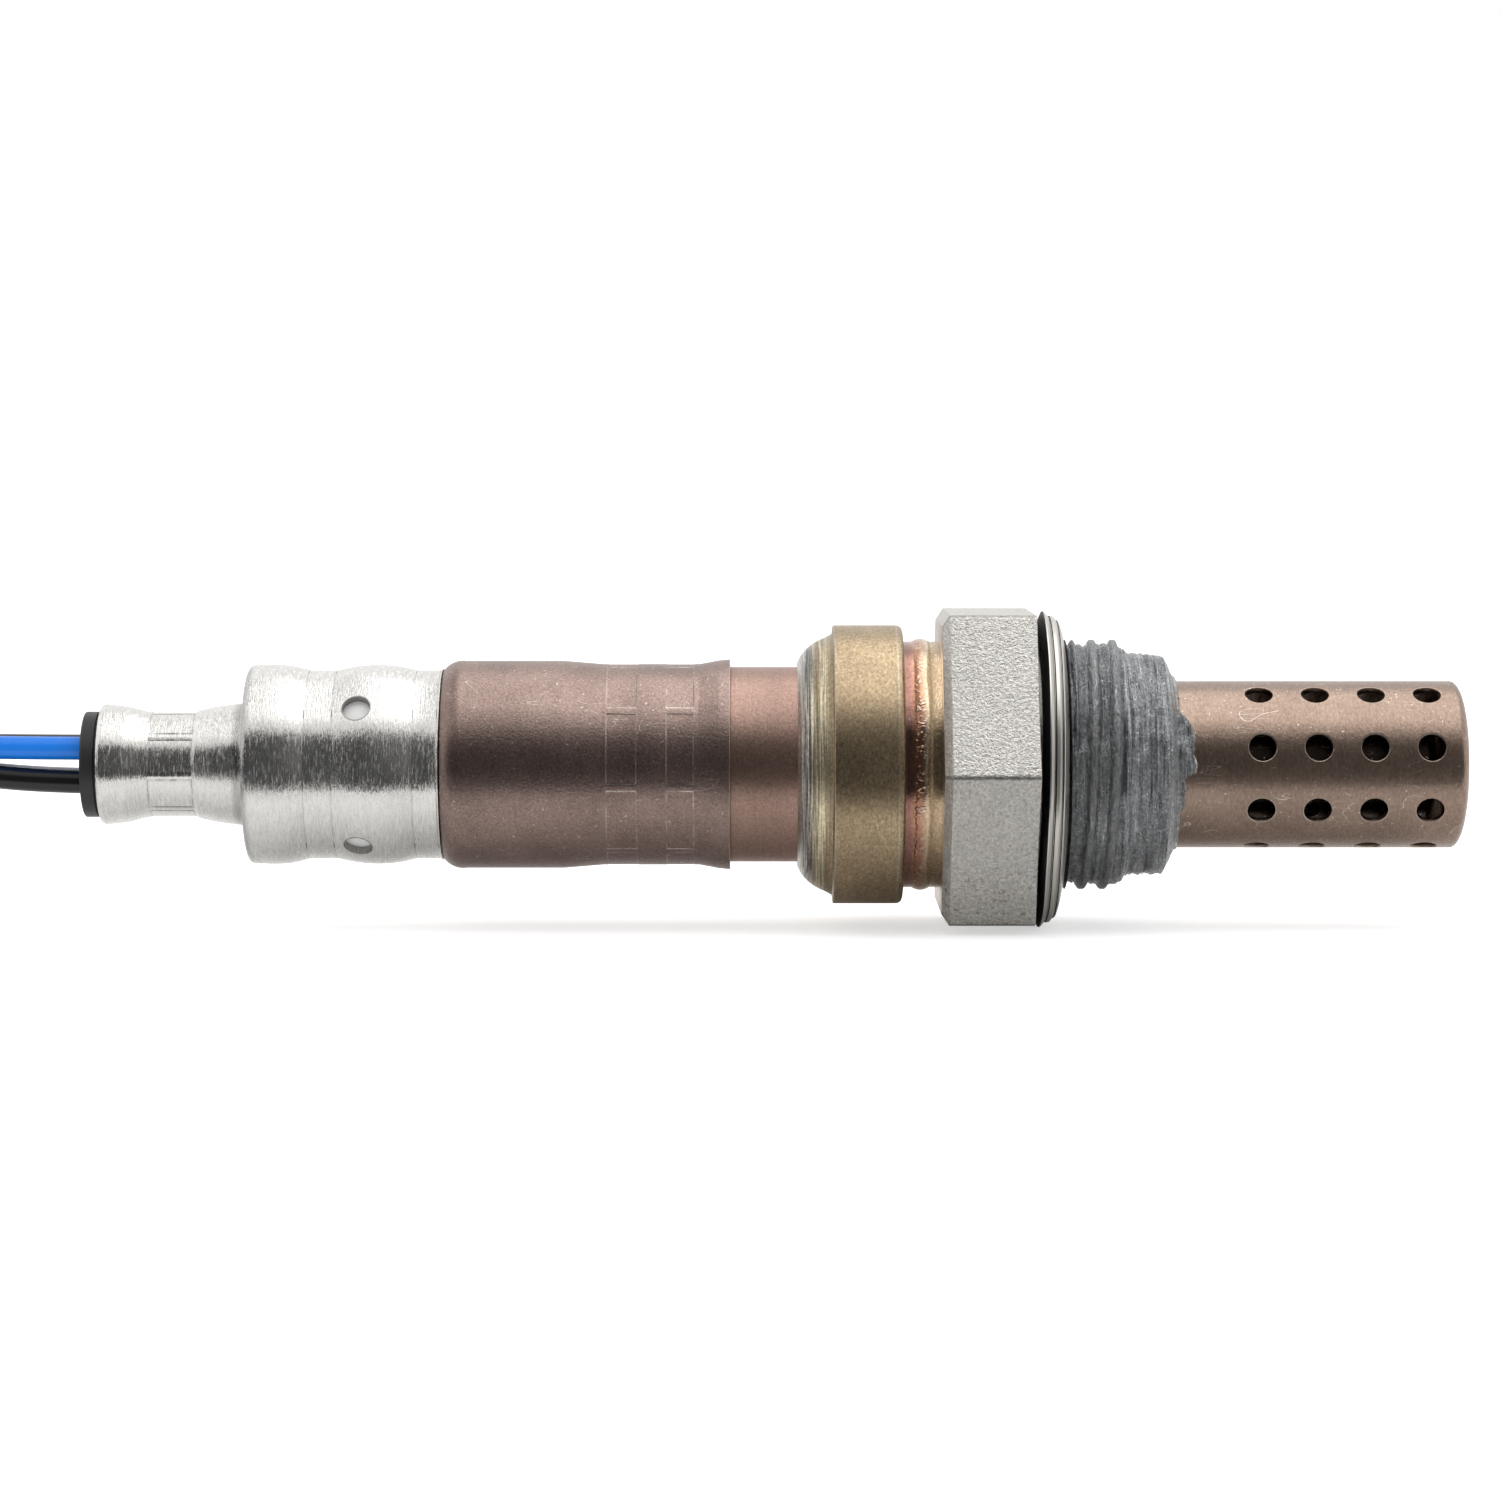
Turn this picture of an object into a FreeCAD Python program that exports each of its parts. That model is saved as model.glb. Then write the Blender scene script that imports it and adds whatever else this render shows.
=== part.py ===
import FreeCAD, Part
import math
import os
import re
import Sketcher

# Heated oxygen sensor for an exhaust pipe, with its four leads and their plug.
# The axis of the sensor is X, the perforated tip points to +X and Z is up.
# The origin is on the axis, in the hexagon's front face, where the sealing ring seats.

Vector = FreeCAD.Vector

# Driving dimensions in millimetres. Each stands in the sheet under its own name.
SIZES = {
    # Clearances between pieces
    "slip_gap": 0.03,
    "press_gap": 0.02,
    "wire_gap": 0.03,
    # Shell: hexagon, neck, thread and nose
    "hex_across_flats": 21.75,
    "hex_length": 6.6,
    "hex_bevel_length": 0.55,
    "hex_bevel_height": 0.8,
    "neck_radius": 8.0,
    "neck_length": 2.2,
    "thread_radius": 8.88,
    "thread_length": 5.2,
    "thread_chamfer": 0.5,
    "pilot_radius": 7.3,
    "pilot_length": 2.4,
    "nose_bevel": 0.9,
    # Shell: thin buckled band, collar and crimped lip
    "band_length": 2.6,
    "band_radius": 8.75,
    "band_bulge_height": 0.2,
    "band_bulge_length": 1.3,
    "band_wall": 1.1,
    "collar_radius": 9.9,
    "collar_length": 4.93,
    "collar_round": 0.5,
    "lip_length": 2.5,
    "lip_shoulder": 0.62,
    "lip_step": 0.7,
    "lip_edge": 0.5,
    "lip_foot": 0.2,
    "lip_turn": 0.77,
    "lip_wall": 1.2,
    "lip_curve": 4.1,
    # Shell: bore
    "stack_radius": 6.6,
    "nose_bore_radius": 4.6,
    "tube_seat_depth": 3.0,
    "element_seat_place": 1.2,
    # Sealing ring, folded from sheet
    "ring_loose_gap": 0.36,
    "ring_height": 2.89,
    "ring_width": 1.9,
    "ring_place": 0.25,
    "ring_fold_depth": 0.25,
    "ring_flank": 1.85,
    # Perforated tubes at the tip
    "outer_tube_radius": 5.93,
    "outer_tube_wall": 0.45,
    "outer_tube_reach": 20.8,
    "outer_tube_round": 1.4,
    "inner_tube_radius": 4.3,
    "inner_tube_wall": 0.35,
    "inner_tube_reach": 18.6,
    "inner_tube_round": 0.9,
    "tube_flange": 0.35,
    "tip_hole_radius": 0.975,
    "tip_hole_pitch": 3.95,
    "tip_hole_inset": 6.07,
    "tip_hole_turn": 16,
    "inner_hole_radius": 0.8,
    "inner_hole_pitch": 5.2,
    "inner_hole_inset": 4.4,
    # Sensing element, its heater and its packing
    "element_tip_radius": 2.6,
    "element_reach": 16.2,
    "element_root_radius": 3.9,
    "element_flange_radius": 6.3,
    "element_flange_length": 3.1,
    "element_flange_cone": 1.1,
    "element_barrel_radius": 4.1,
    "element_tail": 17.6,
    "element_bore_radius": 1.8,
    "element_floor": 1.7,
    "packing_thickness": 0.45,
    "powder_length": 5.2,
    "heater_radius": 1.5,
    "heater_gap": 0.5,
    "heater_tail": 1.6,
    "crimp_ring_thickness": 0.55,
    "flange_seat_radius": 8.35,
    # Main cover
    "cover_radius": 6.93,
    "cover_wall": 0.55,
    "cover_flange_thickness": 0.6,
    "cover_bend": 0.6,
    "cover_shoulder_place": 39.6,
    "cover_shoulder_length": 1.5,
    "cover_tail_radius": 5.75,
    "cover_tail_length": 12.4,
    # Brown heat sleeve over the main cover
    "sleeve_place": 21.25,
    "sleeve_length": 20.3,
    "sleeve_radius": 7.35,
    "sleeve_wall": 0.38,
    "sleeve_flare": 0.13,
    "sleeve_end_drop": 0.6,
    "sleeve_end_curve": 1.3,
    "sleeve_waist_drop": 0.21,
    "sleeve_waist_slope": 2.8,
    "sleeve_crimp_inset": 2.55,
    "sleeve_crimp_width": 2.05,
    "sleeve_crimp_space": 2.0,
    # Marks of the eight crimping jaws
    "jaw_count": 8,
    "jaw_depth": 0.05,
    "jaw_gap_angle": 4,
    "jaw_turn": 38,
    # Silver filter cover with its neck
    "filter_cover_gap": 0.11,
    "filter_cover_wall": 0.45,
    "filter_cover_length": 13.95,
    "waist_radius": 6.7,
    "bulge_rise": 0.38,
    "rear_crimp_place": 1.99,
    "rear_crimp_width": 1.76,
    "front_bulge_length": 5.6,
    "middle_crimp_width": 2.02,
    "middle_curve": 11.0,
    "shoulder_round": 1.15,
    "shoulder_rise": 0.38,
    "neck_fillet": 0.5,
    "tube_neck_radius": 4.18,
    "tube_neck_length": 10.42,
    "neck_crimp_radius": 3.7,
    "neck_crimp_place": 3.93,
    "neck_crimp_width": 3.1,
    "neck_slope": 2.0,
    "mouth_lip": 0.3,
    "mouth_flare": 0.12,
    "vent_radius": 0.98,
    "vent_place": 5.9,
    "vent_shift": 0.22,
    "vent_count": 4,
    # White filter under the vents
    "filter_thickness": 0.33,
    "filter_length": 10.0,
    # Rubber grommet
    "grommet_flange_radius": 3.76,
    "grommet_flange_length": 0.95,
    "grommet_flange_round": 0.12,
    "grommet_step_gap": 0.18,
    "grommet_stand_off": 0.28,
    "grommet_length": 10.9,
    # Rear insulator, its spring, contacts and terminals
    "insulator_radius": 4.9,
    "insulator_flange_radius": 5.9,
    "insulator_flange_length": 3.5,
    "insulator_front": 23.3,
    "insulator_length": 18.6,
    "insulator_bore_radius": 0.85,
    "insulator_flange_place": 33.5,
    "spring_thickness": 0.4,
    "terminal_spread": 2.12,
    "terminal_radius": 0.6,
    "terminal_front": 21.6,
    "terminal_barrel_radius": 0.95,
    "terminal_barrel_length": 2.4,
    "contact_wall": 0.23,
    "contact_grip": 7.5,
    "contact_strip_width": 1.1,
    "contact_strip_thickness": 0.4,
    # Anti-seize paste round the nose
    "paste_radius": 8.0,
    "paste_shoulder_radius": 7.74,
    "paste_reach": 0.45,
    "paste_foot": 0.17,
    "paste_curve": 3.5,
    # Leads
    "wire_diameter": 1.65,
    "grommet_spread": 1.22,
    # Hank of the folded leads, its tie and where it lies
    "fold_radius": 10.2,
    "hank_run": 25.0,
    "hank_place": 109.0,
    "hank_slack": 0.05,
    "lead_in_length": 6.5,
    "lead_out_length": 11.5,
    "entry_lap": 6.0,
    "tie_thickness": 0.5,
    "tie_width": 2.5,
    "tie_gap": 0.3,
    "tie_head_length": 4.2,
    "tie_head_height": 2.6,
    "tie_tail_length": 3.0,
    # Plug
    "plug_place": 161.5,
    "plug_side": 4.4,
    "plug_back_length": 15.5,
    "plug_back_width": 15.6,
    "plug_back_height": 13.6,
    "plug_nose_length": 16.5,
    "plug_nose_width": 11.6,
    "plug_nose_height": 10.2,
    "plug_round": 1.6,
    "plug_pitch": 4.5,
    "plug_rib_width": 1.2,
    "plug_rib_height": 0.6,
    "seal_bore_radius": 1.9,
    "seal_bore_depth": 5.4,
    "seal_length": 4.3,
    "seal_inset": 0.5,
    "seal_rib_height": 0.14,
    "socket_width": 2.1,
    "socket_terminal_width": 1.9,
    "socket_terminal_length": 17.5,
    "socket_barrel_radius": 0.95,
    "socket_barrel_length": 3.5,
    "ring_seal_width": 2.6,
    "ring_seal_rise": 0.7,
    "retainer_thickness": 1.4,
    "retainer_hole_width": 1.3,
    "latch_width": 6.4,
    "latch_thickness": 1.3,
    "latch_gap": 1.5,
    "latch_reach": 14.5,
    "latch_pad_length": 3.0,
    "latch_pad_rise": 0.9,
}

# Places and sizes that follow from the driving dimensions.
DERIVED = {
    "thread_start": "neck_length",
    "thread_end": "thread_start + thread_length",
    "nose_end": "thread_end + pilot_length",
    "hex_back": "-hex_length",
    "hex_corner": "hex_across_flats / sqrt(3)",
    "band_back": "hex_back - band_length",
    "collar_back": "band_back - collar_length",
    "lip_back": "collar_back - lip_length",
    "tube_seat": "nose_end - tube_seat_depth",
    "tube_seat_radius": "outer_tube_radius + slip_gap",
    "outer_tip": "nose_end + outer_tube_reach",
    "outer_tube_bore": "outer_tube_radius - outer_tube_wall",
    "inner_tip": "nose_end + inner_tube_reach",
    "inner_tube_bore": "inner_tube_radius - inner_tube_wall",
    "element_flange_front": "element_seat_place - packing_thickness",
    "element_flange_back": "element_flange_front - element_flange_length",
    "element_tip": "nose_end + element_reach",
    "element_back": "element_flange_back - element_tail",
    "element_bore_end": "element_tip - element_floor",
    "powder_back": "element_flange_back - powder_length",
    "crimp_ring_front": "cover_flange_front + crimp_ring_thickness",
    "bush_back": "crimp_ring_front",
    "heater_tip": "element_bore_end - heater_gap",
    "heater_back": "element_back - heater_tail",
    "cover_flange_front": "cover_flange_back + cover_flange_thickness",
    "cover_flange_back": "collar_back - slip_gap - 0.25 * cover_flange_thickness",
    "cover_bore": "cover_radius - cover_wall",
    "cover_flange_radius": "flange_seat_radius - 0.1",
    "cover_shoulder_front": "-cover_shoulder_place",
    "cover_shoulder_back": "cover_shoulder_front - cover_shoulder_length",
    "cover_tail_bore": "cover_tail_radius - cover_wall",
    "cover_back": "cover_shoulder_back - cover_tail_length",
    "sleeve_front": "-sleeve_place",
    "sleeve_back": "sleeve_front - sleeve_length",
    "sleeve_waist_radius": "sleeve_radius - sleeve_waist_drop",
    "sleeve_crimp_radius": "sleeve_waist_radius - jaw_depth",
    "crimp_bore": "sleeve_crimp_radius - sleeve_wall",
    "sleeve_bore": "cover_radius + slip_gap",
    "first_crimp_front": "sleeve_front - sleeve_crimp_inset",
    "first_crimp_back": "first_crimp_front - sleeve_crimp_width",
    "second_crimp_front": "first_crimp_back - sleeve_crimp_space",
    "second_crimp_back": "second_crimp_front - sleeve_crimp_width",
    "waist_back": "second_crimp_back - 0.5",
    "filter_cover_front": "sleeve_back - filter_cover_gap",
    "filter_cover_back": "filter_cover_front - filter_cover_length",
    "rear_crimp_front": "filter_cover_front - rear_crimp_place + rear_crimp_width",
    "rear_crimp_back": "filter_cover_front - rear_crimp_place",
    "middle_crimp_front": "rear_crimp_back - front_bulge_length",
    "middle_crimp_back": "middle_crimp_front - middle_crimp_width",
    "bulge_radius": "waist_radius + bulge_rise",
    "bulge_peak": "rear_crimp_back - front_bulge_length / 2",
    "bulge_curve": "(front_bulge_length ^ 2 / 4 + bulge_rise ^ 2) / (2 * bulge_rise)",
    "shoulder_radius": "waist_radius + shoulder_rise",
    "waist_bore": "waist_radius - jaw_depth - filter_cover_wall",
    "bulge_bore": "bulge_radius - filter_cover_wall",
    "shoulder_bore": "shoulder_radius - filter_cover_wall",
    "tube_neck_bore": "tube_neck_radius - filter_cover_wall",
    "mouth_end": "filter_cover_back - tube_neck_length",
    "neck_crimp_front": "filter_cover_back - neck_crimp_place",
    "neck_crimp_back": "neck_crimp_front - neck_crimp_width",
    "neck_crimp_bore": "neck_crimp_radius - jaw_depth - filter_cover_wall",
    "vent_centre": "filter_cover_front - vent_place",
    "filter_bore": "cover_tail_radius + press_gap",
    "filter_radius": "filter_bore + filter_thickness",
    "filter_front": "rear_crimp_front - slip_gap",
    "filter_back": "filter_front - filter_length",
    "grommet_step": "mouth_end - grommet_stand_off",
    "grommet_face": "grommet_step - grommet_flange_length",
    "grommet_front": "grommet_face + grommet_length",
    "grommet_radius": "neck_crimp_bore - press_gap",
    "grommet_step_radius": "tube_neck_bore - grommet_step_gap",
    "insulator_back": "-insulator_front - insulator_length",
    "insulator_flange_back": "-insulator_flange_place - insulator_flange_length",
    "terminal_back": "insulator_back - terminal_barrel_length",
    "wire_radius": "wire_diameter / 2",
    "ring_bore_radius": "neck_radius + ring_loose_gap",
    "ring_radius": "ring_bore_radius + ring_height",
    "ring_drop": "ring_bore_radius - neck_radius - press_gap",
    "floor_level": "-ring_radius - ring_drop",
    "bundle_width": "2 * wire_diameter + hank_slack",
    "bundle_spread": "bundle_width / 4",
    "hank_end": "hank_run / 2",
    "hank_floor": "floor_level + tie_thickness",
    "lower_turn_level": "hank_floor + bundle_width / 2",
    "upper_turn_level": "lower_turn_level + bundle_width",
    "entry_level": "upper_turn_level + bundle_width",
    "hank_height": "2 * bundle_width",
    "plug_level": "floor_level + plug_back_height / 2 + plug_rib_height",
    "plug_back_end": "-plug_place - plug_back_length",
    "plug_nose_end": "plug_back_end - plug_nose_length",
    "plug_spread": "plug_pitch / 2",
    "seal_bore_end": "-plug_place - seal_bore_depth",
}

document = FreeCAD.newDocument("oxygen_sensor")
sheet = document.addObject("Spreadsheet::Sheet", "dims")
pieces = []


def fill_sheet():
    """Driving numbers first, then the formulas that follow from them."""
    cells = [(name, str(number)) for name, number in SIZES.items()]
    cells += [(name, "=" + formula) for name, formula in DERIVED.items()]
    for row, (name, _) in enumerate(cells, start=1):
        sheet.set(f"A{row}", name)
        sheet.setAlias(f"B{row}", name)
    for row, (_, content) in enumerate(cells, start=1):
        sheet.set(f"B{row}", content)
    document.recompute()


def amount(formula):
    """What a formula of the sheet's names comes to, in millimetres."""
    return float(sheet.evalExpression(formula))


def bound(formula):
    """The formula with each size's name written as a cell of the sheet."""
    return re.sub(r"\b([a-z]+_\w+)", r"dims.\1", formula)


def new_body(label):
    body = document.addObject("PartDesign::Body", label)
    body.Label = label
    pieces.append(body)
    return body


def origin_feature(body, role):
    return next(item for item in body.Origin.OriginFeatures if item.Role == role)


def new_sketch(body, name, role, offset=None):
    """A sketch on one of the body's own origin planes, moved along its normal by offset."""
    sketch = body.newObject("Sketcher::SketchObject", name)
    sketch.AttachmentSupport = [(origin_feature(body, role), "")]
    sketch.MapMode = "FlatFace"
    if offset:
        sketch.setExpression("AttachmentOffset.Base.z", bound(offset))
    return sketch


def arc_edge(start, end, radius, side):
    """An arc of the radius from start to end, bowed away from the axis (out) or towards it (in).

    It comes with the numbers of its ends, because an arc always runs anticlockwise.
    """
    middle = ((start[0] + end[0]) / 2, (start[1] + end[1]) / 2)
    across, up = end[0] - start[0], end[1] - start[1]
    chord = math.hypot(across, up)
    depth = math.sqrt(radius**2 - chord**2 / 4)
    normal = (-up / chord, across / chord)
    if (normal[1] > 0) == (side == "out"):
        normal = (-normal[0], -normal[1])
    centre = (middle[0] + normal[0] * depth, middle[1] + normal[1] * depth)
    first = math.atan2(start[1] - centre[1], start[0] - centre[0])
    last = math.atan2(end[1] - centre[1], end[0] - centre[0])
    circle = Part.Circle(Vector(*centre, 0), Vector(0, 0, 1), radius)
    if (last - first) % (2 * math.pi) < math.pi:
        return Part.ArcOfCircle(circle, first, last), (1, 2)
    return Part.ArcOfCircle(circle, last, first), (2, 1)


def hold(sketch, constraint, formula):
    number = sketch.addConstraint(constraint)
    sketch.setExpression(f"Constraints[{number}]", bound(formula))


def hold_corner(sketch, edge, end, across, up):
    """Ties one corner to the sketch's origin, by formulas, or to an axis where it lies on it."""
    for kind, formula, axis in (("DistanceX", across, -2), ("DistanceY", up, -1)):
        if formula == "0":
            sketch.addConstraint(Sketcher.Constraint("PointOnObject", edge, end, axis))
        else:
            place = Sketcher.Constraint(kind, -1, 1, edge, end, amount(formula))
            hold(sketch, place, formula)


def add_outline(sketch, corners):
    """A closed outline. A corner is (across, up), or (across, up, radius, side) where an arc follows."""
    places = [(amount(corner[0]), amount(corner[1])) for corner in corners]
    first = sketch.GeometryCount
    count = len(corners)
    ends = []
    for number, corner in enumerate(corners):
        start, end = places[number], places[(number + 1) % count]
        if len(corner) == 4:
            edge, edge_ends = arc_edge(start, end, amount(corner[2]), corner[3])
        else:
            edge, edge_ends = Part.LineSegment(Vector(*start, 0), Vector(*end, 0)), (1, 2)
        sketch.addGeometry(edge, False)
        ends.append(edge_ends)
    for number in range(count):
        after = (number + 1) % count
        joint = (first + number, ends[number][1], first + after, ends[after][0])
        sketch.addConstraint(Sketcher.Constraint("Coincident", *joint))
    for number, corner in enumerate(corners):
        hold_corner(sketch, first + number, ends[number][0], corner[0], corner[1])
        if len(corner) == 4:
            radius = Sketcher.Constraint("Radius", first + number, amount(corner[2]))
            hold(sketch, radius, corner[2])


def add_circle(sketch, across, up, radius):
    centre = Vector(amount(across), amount(up), 0)
    circle = Part.Circle(centre, Vector(0, 0, 1), amount(radius))
    number = sketch.addGeometry(circle, False)
    hold(sketch, Sketcher.Constraint("Radius", number, amount(radius)), radius)
    hold_corner(sketch, number, 3, across, up)


def add_box_outline(sketch, left, right, low, high):
    add_outline(sketch, [(left, low), (right, low), (right, high), (left, high)])


def revolve(body, sketch, axis="H_Axis"):
    feature = body.newObject("PartDesign::Revolution", sketch.Name + "_turned")
    feature.Profile = sketch
    feature.ReferenceAxis = (sketch, [axis])
    feature.Angle = 360
    return feature


def turned(label, corners):
    """A piece turned about the sensor's axis from one section of (place, radius) corners."""
    body = new_body(label)
    sketch = new_sketch(body, label + "_section", "XZ_Plane")
    add_outline(sketch, corners)
    revolve(body, sketch)
    return body


def extrude(body, sketch, length, kind="Pad", reverse=False, both_ways=False):
    feature = body.newObject("PartDesign::" + kind, f"{sketch.Name}_{kind.lower()}")
    feature.Profile = sketch
    feature.setExpression("Length", bound(length))
    feature.Reversed = reverse
    feature.Midplane = both_ways
    return feature


def repeat_round(body, feature, count, axis="X_Axis"):
    pattern = body.newObject("PartDesign::PolarPattern", feature.Name + "_repeated")
    pattern.Originals = [feature]
    pattern.Axis = (origin_feature(body, axis), [""])
    pattern.Angle = 360
    pattern.setExpression("Occurrences", bound(count))
    body.Tip = pattern
    return pattern


def turn_body(body, angle):
    """Turns a body about the sensor's axis, so that what faces the front moves up by the angle."""
    body.Placement = FreeCAD.Placement(Vector(), FreeCAD.Rotation(Vector(-1, 0, 0), amount(angle)))
    body.setExpression("Placement.Rotation.Angle", bound(angle))


def drill_rows(body, places, radius, depth, count, shift="0"):
    """Holes along the side wall at the places, repeated round the axis."""
    sketch = new_sketch(body, body.Name + "_holes", "XZ_Plane")
    for place in places:
        add_circle(sketch, place, shift, radius)
    holes = extrude(body, sketch, depth, "Pocket")
    return repeat_round(body, holes, count)


def press_jaws(body, name, back, front, radius, outside):
    """The flats that the crimping jaws leave in a band, with a thin line standing between them."""
    sketch = new_sketch(body, name, "XZ_Plane")
    add_box_outline(sketch, back, front, radius, outside)
    groove = body.newObject("PartDesign::Groove", name + "_pressed")
    groove.Profile = sketch
    groove.ReferenceAxis = (sketch, ["H_Axis"])
    groove.Reversed = True
    groove.setExpression("Angle", bound("360 / jaw_count - jaw_gap_angle"))
    document.recompute()
    return repeat_round(body, groove, "jaw_count")


def shell():
    """Hexagon, threaded nose, thin band, collar and crimped lip, turned from one bar."""
    body = turned("shell", [
        ("nose_end", "tube_seat_radius"),
        ("nose_end", "pilot_radius - nose_bevel"),
        ("nose_end - nose_bevel", "pilot_radius"),
        ("thread_end", "pilot_radius"),
        ("thread_end", "thread_radius - thread_chamfer"),
        ("thread_end - thread_chamfer", "thread_radius"),
        ("thread_start + thread_chamfer", "thread_radius"),
        ("thread_start", "neck_radius"),
        ("0", "neck_radius"),
        ("0", "band_radius"),
        ("hex_back - band_length / 2 + band_bulge_length / 2", "band_radius",
         "(band_bulge_length ^ 2 / 4 + band_bulge_height ^ 2) / (2 * band_bulge_height)", "out"),
        ("hex_back - band_length / 2 - band_bulge_length / 2", "band_radius"),
        ("band_back", "band_radius"),
        ("band_back", "collar_radius - collar_round", "collar_round", "out"),
        ("band_back - collar_round", "collar_radius"),
        ("collar_back", "collar_radius"),
        ("collar_back - 0.07", "collar_radius - lip_edge"),
        ("collar_back - lip_shoulder", "collar_radius - lip_step", "lip_curve", "out"),
        ("lip_back + 0.18", "cover_radius + lip_turn"),
        ("lip_back", "cover_radius + lip_foot"),
        ("lip_back", "cover_radius + slip_gap"),
        ("lip_back + 0.5 * lip_wall", "cover_radius + slip_gap"),
        ("cover_flange_back - slip_gap", "flange_seat_radius - 0.3"),
        ("cover_flange_back - slip_gap", "flange_seat_radius"),
        ("bush_back", "flange_seat_radius"),
        ("bush_back", "stack_radius"),
        ("band_back", "stack_radius"),
        ("band_back + 0.3", "band_radius - band_wall"),
        ("hex_back - 0.3", "band_radius - band_wall"),
        ("hex_back", "stack_radius"),
        ("element_seat_place", "stack_radius"),
        ("element_seat_place", "nose_bore_radius"),
        ("tube_seat", "nose_bore_radius"),
        ("tube_seat", "tube_seat_radius"),
    ])
    sketch = new_sketch(body, "hexagon", "YZ_Plane")
    half, corner = "hex_across_flats / 2", "hex_corner"
    add_outline(sketch, [
        (corner, "0"), (f"{corner} / 2", half), (f"-{corner} / 2", half),
        (f"-{corner}", "0"), (f"-{corner} / 2", f"-{half}"), (f"{corner} / 2", f"-{half}"),
    ])
    add_circle(sketch, "0", "0", "neck_radius - 0.3")
    extrude(body, sketch, "hex_length", reverse=True)
    document.recompute()
    bevel_hexagon(body)
    return body


def bevel_hexagon(body):
    """A sloping bevel all round the hexagon's rear face."""
    flat, back = amount("hex_across_flats / 2"), amount("hex_back")
    base = body.Tip
    names = []
    for number, edge in enumerate(base.Shape.Edges, start=1):
        ends = [vertex.Point for vertex in edge.Vertexes]
        on_back = len(ends) == 2 and all(abs(point.x - back) < 1e-4 for point in ends)
        if on_back and all(math.hypot(point.y, point.z) > flat for point in ends):
            names.append(f"Edge{number}")
    bevel = body.newObject("PartDesign::Chamfer", "hexagon_bevel")
    bevel.Base = (base, names)
    bevel.ChamferType = "Two distances"
    bevel.setExpression("Size", bound("hex_bevel_height"))
    bevel.setExpression("Size2", bound("hex_bevel_length"))
    document.recompute()
    face = next(item for item in bevel.Shape.Faces if is_face_at(item, back))
    if face.BoundBox.ZMax > flat - amount("hex_bevel_length") - 1e-4:
        bevel.FlipDirection = True
        document.recompute()


def is_face_at(face, place):
    box = face.BoundBox
    return box.XMax - box.XMin < 1e-6 and abs(box.XMin - place) < 1e-4 and box.ZMax > amount("collar_radius")


def sealing_ring():
    """The crush ring, folded in two layers. It hangs on the shell's neck."""
    middle = "ring_place + ring_width / 2"
    body = turned("sealing_ring", [
        ("ring_place + 0.5", "ring_bore_radius"),
        ("ring_place + ring_width - 0.3", "ring_bore_radius", "1.1", "in"),
        ("ring_place + ring_width", "ring_bore_radius + 0.9"),
        ("ring_place + ring_width - 0.05", "ring_radius - 1.3", "1.0", "out"),
        (f"{middle} + 0.25", "ring_radius - 0.33"),
        (f"{middle} - 0.02", "ring_radius - 0.35"),
        (f"{middle} - 0.14", "ring_radius - 0.35 - ring_fold_depth"),
        (f"{middle} - 0.26", "ring_radius - 0.3"),
        ("ring_place + 0.43", "ring_radius"),
        ("ring_place", "ring_radius - ring_flank"),
        ("ring_place", "ring_bore_radius + 0.6", "0.75", "in"),
    ])
    body.setExpression("Placement.Base.z", bound("-ring_drop"))


def closed_tube(label, base, tip, radius, bore, round_radius, flange_radius):
    """A drawn cup, open at its base, with a rounded closed end and a small flange at the base."""
    wall = f"({radius} - {bore})"
    return turned(label, [
        (base, bore),
        (base, flange_radius),
        (f"{base} + tube_flange", flange_radius),
        (f"{base} + tube_flange + 0.01", radius),
        (f"{tip} - {round_radius}", radius, round_radius, "out"),
        (tip, f"{radius} - {round_radius}"),
        (tip, "0"),
        (f"{tip} - {wall}", "0"),
        (f"{tip} - {wall}", f"{radius} - {round_radius}", f"{round_radius} - {wall}", "out"),
        (f"{tip} - {round_radius}", bore),
    ])


def tip_tubes():
    """The two perforated tubes that let exhaust gas reach the sensing element."""
    outer = closed_tube("outer_protection_tube", "tube_seat", "outer_tip", "outer_tube_radius",
                        "outer_tube_bore", "outer_tube_round", "outer_tube_radius + slip_gap / 2")
    rows = [f"nose_end + tip_hole_inset + {number} * tip_hole_pitch" for number in range(4)]
    drill_rows(outer, rows, "tip_hole_radius", "outer_tube_radius + 1", "jaw_count")
    turn_body(outer, "tip_hole_turn")
    inner = closed_tube("inner_protection_tube", "tube_seat", "inner_tip", "inner_tube_radius",
                        "inner_tube_bore", "inner_tube_round", "outer_tube_bore - slip_gap")
    rows = [f"nose_end + inner_hole_inset + {number} * inner_hole_pitch" for number in range(2)]
    drill_rows(inner, rows, "inner_hole_radius", "inner_tube_radius + 1", "jaw_count")


def sensing_element():
    """The ceramic thimble, closed at the tip, with the flange that it seats on."""
    turned("sensing_element", [
        ("element_back", "element_bore_radius"),
        ("element_back", "element_barrel_radius"),
        ("element_flange_back", "element_barrel_radius"),
        ("element_flange_back", "element_flange_radius"),
        ("element_flange_front - element_flange_cone", "element_flange_radius"),
        ("element_flange_front", "element_flange_radius - element_flange_cone"),
        ("element_flange_front", "element_root_radius"),
        ("tube_seat", "element_root_radius"),
        ("element_tip - element_tip_radius", "element_tip_radius", "element_tip_radius", "out"),
        ("element_tip", "0"),
        ("element_bore_end", "0"),
        ("element_bore_end", "element_bore_radius"),
    ])
    turned("seat_packing", [
        ("element_flange_front", "nose_bore_radius"),
        ("element_seat_place", "nose_bore_radius"),
        ("element_seat_place", "stack_radius - 0.2"),
        ("element_flange_front", "stack_radius - 0.2"),
    ])


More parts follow.
